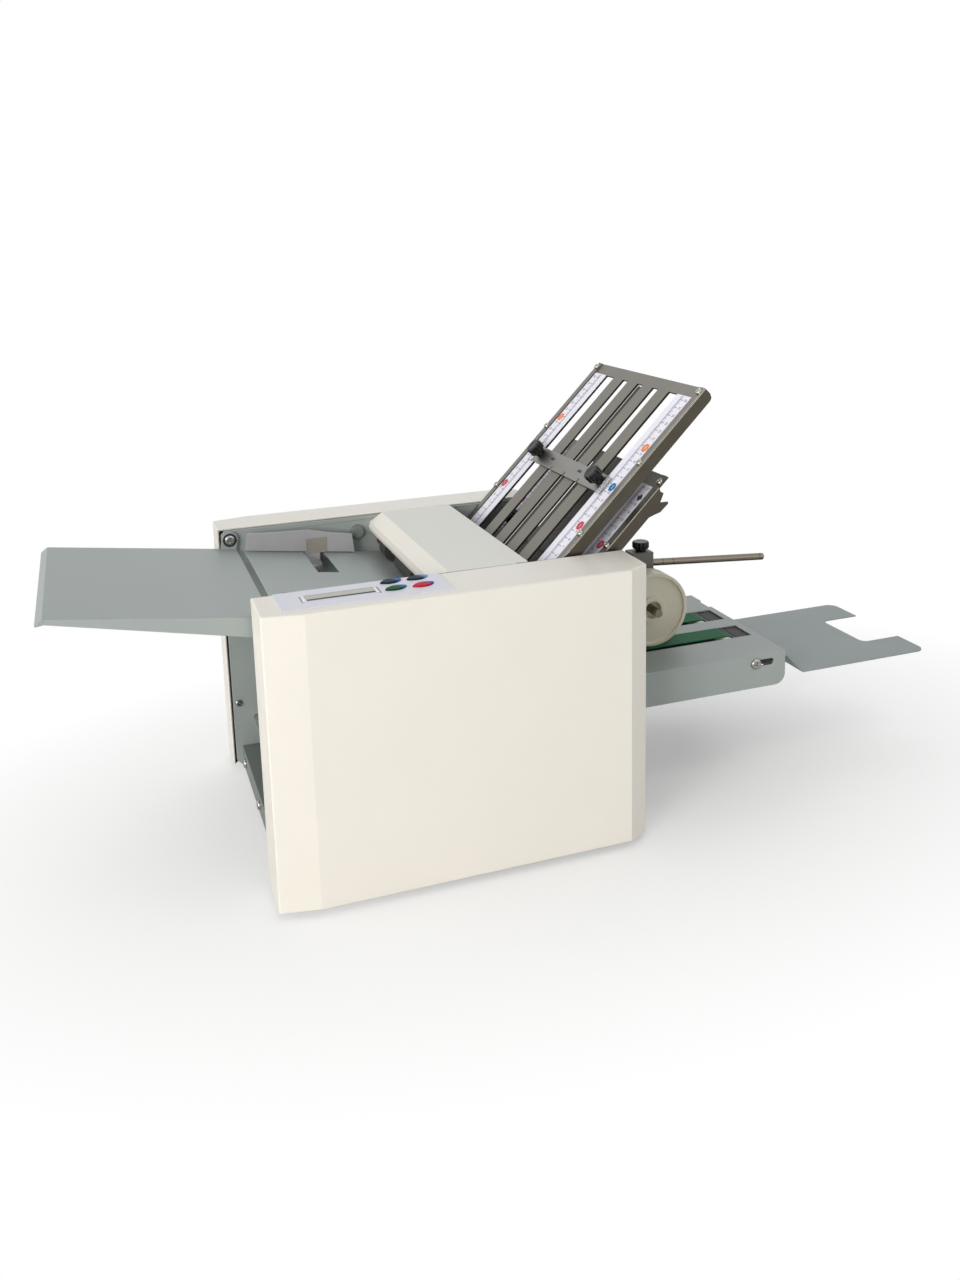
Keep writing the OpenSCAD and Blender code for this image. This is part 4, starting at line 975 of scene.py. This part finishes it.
@dataclass
class FoldPlate:
    """One slotted fold plate with its scales and its stop bar."""

    shop: Workshop
    key: str
    origin: Point2
    stop_u: float
    knob_h: float
    scale_u1: float
    marks: Sequence[Mark]
    screw_us: Sequence[float]
    bend_u1: float
    angle: float = 45.0
    knob_r: float = 9.0
    under: float = -2.7

    def frame(self) -> Matrix:
        """Returns the plate's frame in millimetres: u up the slope, y across, v out."""
        c, s = math.cos(math.radians(self.angle)), math.sin(math.radians(self.angle))
        turn = Matrix(((c, 0, -s, 0), (0, 1, 0, 0), (s, 0, c, 0), (0, 0, 0, 1)))
        move = Matrix.Translation(at(self.origin[0], 0, self.origin[1]))
        return move @ Matrix.Scale(MM, 4) @ turn

    def height(self, p: Vector) -> float:
        """Returns how far a machine point stands out of the plate."""
        s = math.sin(math.radians(self.angle))
        return (-(p.x - self.origin[0]) + (p.z - self.origin[1])) * s

    def build(self) -> None:
        """Dresses the plate, prints its scales and fits its stop bar."""
        k = self.key
        self.shop.rounded(
            f"{k}_fold_plate", PLATE_STEEL, 0.12, 1,
            [(PLATE_SIDE_SHADE, self.is_side), (PAINTED_GAP_SHADE, self.is_cut)],
        )
        self.shop.rounded(
            f"{k}_plate_backing", PLATE_STEEL, 0.1, 1,
            [
                (ZINC, lambda p: self.height(p) > 1.25), (PAINTED_GAP_SHADE, self.is_inside),
                (GROUND_BAR, self.is_wire),
            ],
        )
        self.liner()
        self.shop.coat(SCALE_WHITE, f"{k}_plate_rulers")
        Scale(f"{k}_plate", self.frame(), -56.0, self.scale_u1).build(
            f"{k}_scale_print", self.marks, self.shop.slots[f"{k}_plate_rulers"]
        )
        self.screws()
        self.bends()
        self.stop_bar()
        self.knobs()

    def is_cut(self, p: Vector) -> bool:
        """Tells the sheared edges of the front sheet's slots, which wear painted shade."""
        return abs(p.y - MID_Y) < 84 and -0.75 < self.height(p) < -0.05

    def is_inside(self, p: Vector) -> bool:
        """Tells the inner face and the sheared edges of the back sheet, which wear painted shade.
        """
        return abs(p.y - MID_Y) < 84 and -2.35 < self.height(p) < -1.5

    def liner(self) -> None:
        """Lays a dark strip and a bright bead behind the middle slot, as painted shade and a
        painted highlight: a guess for likeness.
        """
        strip = Builder(self.frame())
        strip.box((-50, 3.5, -1.57), (self.scale_u1 - 2, 14.6, -1.47))
        # The bright bead is a painted highlight
        strip.material = 1
        strip.box((-50, 10.1, -1.47), (self.scale_u1 - 2, 10.9, -1.1))
        strip.finish(
            f"{self.key}_slot_shade_and_highlight", [PAINTED_GAP_SHADE, BEND_HIGHLIGHT], f"{self.key}_plate",
            self.shop.slots[f"{self.key}_plate_backing"],
        )

    def bends(self) -> None:
        """Rounds the outer bend of both sides and gives it a painted highlight."""
        line = Builder(self.frame())
        for s in (-1, 1):
            profile = [
                (119.0, 0.9), (119.0, 1.24), (119.5, 1.22), (119.9, 0.95), (120.05, 0.5),
                (120.05, -0.1), (119.6, -0.1),
            ]
            outline = [(MID_Y + s * y, v) for y, v in (profile if s < 0 else profile[::-1])]
            line.prism(outline, lambda p, h: (h, p[0], p[1]), -55.5, self.bend_u1)
        line.finish(
            f"{self.key}_plate_bends", [BEND_HIGHLIGHT], f"{self.key}_plate",
            self.shop.slots[f"{self.key}_fold_plate"], 60,
        )

    def screws(self) -> None:
        """Caps the plate's screws with cross-recessed heads."""
        heads = Builder(self.frame())
        for u in self.screw_us:
            for s in (-1, 1):
                heads.screw(Vector((u, MID_Y + s * 115.5, 1.2)), Vector((0, 0, 1)), 3.6, 2.6)
        heads.finish(
            f"{self.key}_plate_screws", [ZINC], f"{self.key}_plate", self.shop.slots["frame_bolts"]
        )

    def is_side(self, p: Vector) -> bool:
        """Tells the bent-down sides by their place; they wear painted shade."""
        return abs(p.y - MID_Y) > 118.3 and self.height(p) < -1.0

    def is_wire(self, p: Vector) -> bool:
        """Tells the sensing wire in the middle slot by its place."""
        return abs(p.y - 11.2) < 0.9 and -2.6 < self.height(p) < -0.9

    def stop_bar(self) -> None:
        """Replaces the stop bar by a steel bar and two clear cursors."""
        u, frame = self.stop_u, self.frame()
        steel = Builder(frame)
        low = self.under
        steel.box((u, MID_Y - 85.5, 0.9), (u + 20.5, MID_Y + 85.5, 2.4))
        steel.box((u + 1, MID_Y - 81, low - 1.5), (u + 18.5, MID_Y + 81, low))
        for s in (-1, 1):
            steel.turned(
                [(0, 0), (2, 0), (2, 11.5 - low), (0, 11.5 - low)],
                Vector((u + 12.5, MID_Y + 76 * s, low - 0.05)), Vector((0, 0, 1)),
            )
            steel.box((u + 8, MID_Y + s * 66 - 1.5, low - 1), (u + 16, MID_Y + s * 66 + 1.5, 1.0))
        for o in (31.4, -1.9, -37.3):
            y0, y1 = (2.3, 3.3) if abs(o) < 5 else (6.4 + o, 9.6 + o)
            steel.box((u, y0, low - 1), (u + 1.2, y1, 1.2))
            steel.box((u, MID_Y + o - 1.6, 2.3), (u + 5, MID_Y + o + 1.6, 3.2))
        steel.material = 1
        for o in (41.6, -28.9):
            steel.box((u + 10.5, MID_Y + o - 4, 2.35), (u + 13.5, MID_Y + o + 4, 2.45))
        bar = steel.finish(
            f"{self.key}_stop_bar_steel", [STOP_STEEL, INK_BLACK], f"{self.key}_stop",
            self.shop.slots[f"{self.key}_stop_bar"],
        )
        round_edges(bar, 0.25, 2)
        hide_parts(f"{self.key}_stop_bar")
        clear = Builder(frame)
        for s in (-1, 1):
            a, b = sorted((MID_Y + s * 85.6, MID_Y + s * 94))
            clear.box((u - 1, a, 0.9), (u + 19.5, b, 2.3))
        tabs = clear.finish(
            f"{self.key}_stop_cursors", [CLEAR], f"{self.key}_stop",
            self.shop.slots[f"{self.key}_stop_bar"],
        )
        round_edges(tabs, 0.2, 2)
        hair = Builder(frame)
        for s in (-1, 1):
            a, b = sorted((MID_Y + s * 86, MID_Y + s * 93.8))
            hair.box((u - 0.2, a, 0.85), (u + 0.2, b, 0.9))
        hair.finish(
            f"{self.key}_stop_hairlines", [INK_RED], f"{self.key}_stop",
            self.shop.slots[f"{self.key}_stop_bar"],
        )
        LOG.info("%s stop bar is fitted", self.key)

    def knobs(self) -> None:
        """Turns the fluted clamping knobs."""
        for side, s in (("near", -1), ("far", 1)):
            name = f"{self.key}_stop_knob_{side}"
            fluted_knob(
                self.shop, name, f"{self.key}_knob_{side}", self.frame(),
                Vector((self.stop_u + 12.5, MID_Y + s * 76, 2.7)), self.knob_h - 2.7, self.knob_r,
            )


def fluted_knob(
    shop: Workshop, node: str, body: str, frame: Matrix, foot: Vector, height: float, radius: float
) -> None:
    """Replaces a knob node by a fluted knob with a dished top.

    Args:
        shop: The workshop.
        node: The knob's CAD node.
        body: Body that it turns with.
        frame: Frame of the foot point; the knob stands along its third axis.
        foot: Centre of the knob's lower face.
        height: Height of the knob.
        radius: Outer radius.
    """
    knob = Builder(frame)
    steps, lobes, flute = 96, 12, 0.11
    profile = (
        (0.62, 0.0), (0.66, 0.1), (0.66, 0.22), (0.92, 0.30), (1.0, 0.36), (1.0, 0.86),
        (0.96, 0.96), (0.86, 1.0), (0.6, 0.985),
    )
    rings = []
    for r, h in profile:
        ring = []
        depth = flute if r > 0.8 else 0.0
        for a in angles(steps):
            wave = 0.5 - 0.5 * math.cos(lobes * a)
            rr = radius * r * (1 - depth * wave**1.5)
            ring.append(knob.bm.verts.new(foot + round_point(rr, a, h * height)))
        rings.append(ring)
    rings.append([knob.bm.verts.new(foot + Vector((0, 0, 0.96 * height)))])
    knob.bm.faces.new(list(reversed(rings[0])))
    knob.bridge(rings)
    made = knob.finish(f"{node}_fluted", [KNOB_BLACK], body, shop.slots[node], 50)
    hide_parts(node)
    LOG.info("%s is turned", node)


@dataclass
class Delivery:
    """The belt conveyor, the press wheels and the extension tray."""

    shop: Workshop
    wheel: Point2 = (443.0, 179.2)

    def build(self) -> None:
        """Dresses the delivery side."""
        self.shop.rounded("conveyor_channel", FRAME_COAT, 0.6, 3)
        self.shop.coat(BELT_GREEN, "conveyor_belts")
        self.shop.rounded("conveyor_drive_roller", GROUND_BAR, 0.0, 1)
        self.shop.rounded("conveyor_front_roller", ACETAL, 0.5, 2, [(GROUND_BAR, self.is_axle)])
        self.shop.rounded("press_rod", ROD_STEEL, 0.15, 1)
        self.shop.rounded("wheel_carriage", CAST_ZINC, 0.5, 2, [(ROD_STEEL, self.is_wheel_shaft)])
        self.shop.rounded("near_press_wheel", WHEEL_ABS, 0.8, 3)
        self.shop.rounded("far_press_wheel", WHEEL_ABS, 0.8, 3)
        self.shop.rounded("extension_tray", TRAY_COAT, 0.4, 2)
        self.beds()
        fluted_knob(
            self.shop, "carriage_knob", "carriage_knob", machine_frame(),
            foot=Vector((447, MID_Y, 236.1)), height=11.0, radius=9.3,
        )

    def beds(self) -> None:
        """Lays dark strips under the belts and behind the tray's slots, painted shade where these
        gaps show dark: guesses for likeness.
        """
        beds = Builder()
        for y in (-20.5, 36.5):
            for x0, x1 in ((296, 519), (546, 563)):
                beds.box((x0, y - 19, 133.7), (x1, y + 17, 134.5))
        for y0, y1 in ((-90.35, -90.0), (106.0, 106.35)):
            beds.box((537.5, y0, 125.8), (559, y1, 130.3))
        beds.finish("belt_shade_strips", [PAINTED_GAP_SHADE], "machine", self.shop.slots["conveyor_channel"])
        LOG.info("belt beds are laid")

    @staticmethod
    def is_axle(p: Vector) -> bool:
        """Tells the front roller's axle from its drums."""
        return math.hypot(p.x - FRONT_AXLE[0], p.z - FRONT_AXLE[1]) < 4.0

    def is_wheel_shaft(self, p: Vector) -> bool:
        """Tells the wheels' shaft from the carriage."""
        off_axis = math.hypot(p.x - self.wheel[0], p.z - self.wheel[1])
        return abs(p.y - MID_Y) > 10.5 and off_axis < 6


@dataclass
class Controls:
    """The control film with its display and keys, and the board under it."""

    shop: Workshop
    top: float = 281.8

    def build(self) -> None:
        """Dresses the controls."""
        self.shop.coat(PANEL_FILM, "control_panel")
        self.display()
        parts = (SOCKET_BLACK, lambda p: p.z > 263.7)
        self.shop.rounded("control_board", BOARD_GREEN, 0.0, 1, [parts])
        for name, finish in KEYS.items():
            self.shop.rounded(name, finish, 0.9, 3)
        self.brackets()

    def display(self) -> None:
        """Builds the display: a silvery window in the film, with a painted shadow along its lower
        edge and painted highlights at its ends.
        """
        piece = Builder()
        z = self.top
        piece.box((42.9, -146.2, 263.8), (106.6, -133.2, z + 0.02))
        piece.box((40.7, -148.4, z), (108.8, -131, z + 0.4))
        piece.material = 1
        piece.box((43.4, -144.8, z + 0.4), (106.0, -134.0, z + 0.5))
        # Painted shadow along the display's edges
        piece.material = 2
        piece.box((44.4, -148.4, z + 0.4), (105.6, -144.8, z + 0.52))
        piece.box((44.4, -134.0, z + 0.4), (106.0, -133.5, z + 0.5))
        # Painted highlights at the display's ends
        piece.material = 3
        for x in (41.5, 106.2):
            piece.box((x, -148.3, z + 0.4), (x + 1.9, -138.0, z + 0.56))
        made = piece.finish(
            "display_window", [PANEL_FILM, DISPLAY_GLASS, DISPLAY_EDGE_SHADOW, DISPLAY_END_HIGHLIGHT], "machine",
            self.shop.slots["display"],
        )
        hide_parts("display")
        LOG.info("display is built")

    def brackets(self) -> None:
        """Prints a thin bracket line at each corner of the display."""
        ink = Builder()
        z = self.top
        for x, side in ((39.9, 1), (109.8, -1)):
            ink.box((x - 0.4, -150.4, z), (x + 0.4, -133.4, z + INK_MM))
            low, high = sorted((x, x + 2 * side))
            ink.box((low, -150.65, z), (high, -150.15, z + INK_MM))
        ink.finish("panel_print", [INK_BLACK], "machine", self.shop.slots["control_panel"])
        LOG.info("panel lines are printed")


# ---------------------------------------------------------------- studio


@dataclass
class Studio:
    """Camera, floor and lamps."""

    position: tuple[float, float, float] = (-118.7, -1071.7, 596.4)
    azimuth: float = 18.776
    elevation: float = 11.31
    roll: float = -0.028
    focal_px: float = 1124.9
    centre_px: Point2 = (468.6, 450.1)
    image: tuple[int, int] = (960, 1280)

    def camera(self) -> None:
        """Puts the camera where the photograph was taken."""
        az, el = math.radians(self.azimuth), math.radians(self.elevation)
        ahead = Vector((math.sin(az) * math.cos(el), math.cos(az) * math.cos(el), -math.sin(el)))
        right = Vector((math.cos(az), -math.sin(az), 0))
        up = right.cross(ahead)
        c, s = math.cos(self.roll), math.sin(self.roll)
        right, up = c * right + s * up, -s * right + c * up
        data = bpy.data.cameras.new("camera")
        data.sensor_width = SENSOR_MM
        data.lens = self.focal_px * SENSOR_MM / self.image[1]
        data.shift_x = (self.image[0] / 2 - self.centre_px[0]) / self.image[1]
        data.shift_y = (self.centre_px[1] - self.image[1] / 2) / self.image[1]
        data.clip_start, data.clip_end = 0.02, 40
        obj = bpy.data.objects.new("camera", data)
        turn = Matrix((right, up, -ahead)).transposed().to_4x4()
        turn.translation = at(*self.position)
        obj.matrix_world = turn
        bpy.context.scene.collection.objects.link(obj)
        bpy.context.scene.camera = obj

    def floor(self) -> None:
        """Lays the pale floor, which turns into the white background away from the object."""
        mesh = bpy.data.meshes.new("floor")
        size = 8.0
        corners = [(-size, -size, 0), (size, -size, 0), (size, size, 0), (-size, size, 0)]
        mesh.from_pydata(corners, [], [(0, 1, 2, 3)])
        obj = bpy.data.objects.new("floor", mesh)
        material = bpy.data.materials.new("studio_paper")
        material.use_nodes = True
        tree = material.node_tree
        tree.nodes.clear()
        paper = add_node(
            tree, "ShaderNodeBsdfPrincipled", Base_Color=linear("#F4F4F2"), Roughness=0.9
        )
        white = add_node(tree, "ShaderNodeEmission", Color=(1, 1, 1, 1), Strength=1.0)
        place = add_node(tree, "ShaderNodeTexCoord").outputs["Object"]
        flat = add_node(
            tree, "ShaderNodeMapping", Vector=place, Location=(-0.01, 0, 0), Scale=(0.62, 1.0, 1.0)
        ).outputs["Vector"]
        far = add_node(
            tree, "ShaderNodeVectorMath", {"operation": "LENGTH"}, s0=flat
        ).outputs["Value"]
        fade = add_node(
            tree, "ShaderNodeMapRange", Value=far, From_Min=0.12, From_Max=0.46, To_Min=0.3,
            To_Max=1.0,
        ).outputs["Result"]
        seen = ray_share(tree, "Is Camera Ray", "Is Transmission Ray")
        share = add_node(
            tree, "ShaderNodeMath", {"operation": "MULTIPLY"}, s0=fade, s1=seen
        ).outputs[0]
        both = add_node(
            tree, "ShaderNodeMixShader", s0=share, s1=paper.outputs["BSDF"],
            s2=white.outputs["Emission"],
        )
        add_node(tree, "ShaderNodeOutputMaterial", Surface=both.outputs[0])
        mesh.materials.append(material)
        bpy.context.scene.collection.objects.link(obj)

    def lamp(
        self, name: str, place: Sequence[float], aim: Sequence[float], size: float, watts: float,
        colour: Sequence[float] = (1.0, 1.0, 1.0),
    ) -> None:
        """Hangs one soft square lamp.

        Args:
            name: Name of the lamp.
            place: Where it hangs, in metres.
            aim: What it points at, in metres.
            size: Side of the square, in metres.
            watts: Power.
            colour: Tint of its light.
        """
        data = bpy.data.lights.new(name, "AREA")
        data.energy, data.size, data.color = watts, size, colour
        obj = bpy.data.objects.new(name, data)
        obj.location = place
        obj.rotation_mode = "QUATERNION"
        obj.rotation_quaternion = (Vector(aim) - Vector(place)).to_track_quat("-Z", "Y")
        bpy.context.scene.collection.objects.link(obj)

    def world(self) -> None:
        """Sets a pale world that shows white behind the object."""
        world = bpy.data.worlds.new("studio")
        world.use_nodes = True
        tree = world.node_tree
        tree.nodes.clear()
        seen = ray_share(tree, "Is Camera Ray", "Is Transmission Ray", "Is Glossy Ray")
        strength = add_node(
            tree, "ShaderNodeMapRange", Value=seen, To_Min=0.38, To_Max=1.0
        ).outputs["Result"]
        back = add_node(tree, "ShaderNodeBackground", Color=(1, 1, 1, 1), Strength=strength)
        add_node(tree, "ShaderNodeOutputWorld", Surface=back.outputs[0])
        bpy.context.scene.world = world

    def build(self) -> None:
        """Sets the whole studio."""
        self.camera()
        self.floor()
        self.world()
        self.lamp("key", (-2.25, -1.95, 0.85), (0.0, 0.0, 0.2), 1.4, 54, (1.0, 0.972, 0.93))
        self.lamp("fill", (1.9, -1.6, 1.0), (0.1, 0.0, 0.2), 1.8, 4)
        self.lamp("side", (-2.7, 0.7, 1.5), (0.0, 0.0, 0.25), 1.2, 11)
        self.lamp("edge", (0.66, -0.69, 1.67), (0.1, -0.1, 0.28), 0.4, 2.2)
        self.lamp("back", (0.6, 1.6, 2.3), (0.0, 0.0, 0.2), 1.6, 12, (0.94, 0.98, 1.0))
        bpy.context.scene.view_settings.view_transform = "Standard"
        LOG.info("studio is lit")


def main() -> None:
    """Builds every piece in order."""
    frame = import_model()
    shop = Workshop(frame)
    Covers(shop).build()
    Feed(shop).build()
    Drive(shop).build()
    red, blue, orange = (31.8, 2, "1", 6), (81.4, 3, "2", 6), (132.5, 4, "3", 6)
    black = (92.9, 0, "", 4)
    FoldPlate(
        shop, "upper", origin=(304.4, 281.4), stop_u=69.5, knob_h=17.0, scale_u1=200.0,
        marks=(red, blue, orange), screw_us=(25, 115.5, 207.5), bend_u1=213.0,
    ).build()
    FoldPlate(
        shop, "lower", origin=(326.4, 259.4), stop_u=-6.0, knob_h=16.0, scale_u1=108.6,
        marks=(red, black), screw_us=(-38, 34, 116), bend_u1=110.5,
    ).build()
    Delivery(shop).build()
    Controls(shop).build()
    Studio().build()


if __name__ == "__main__":
    main()
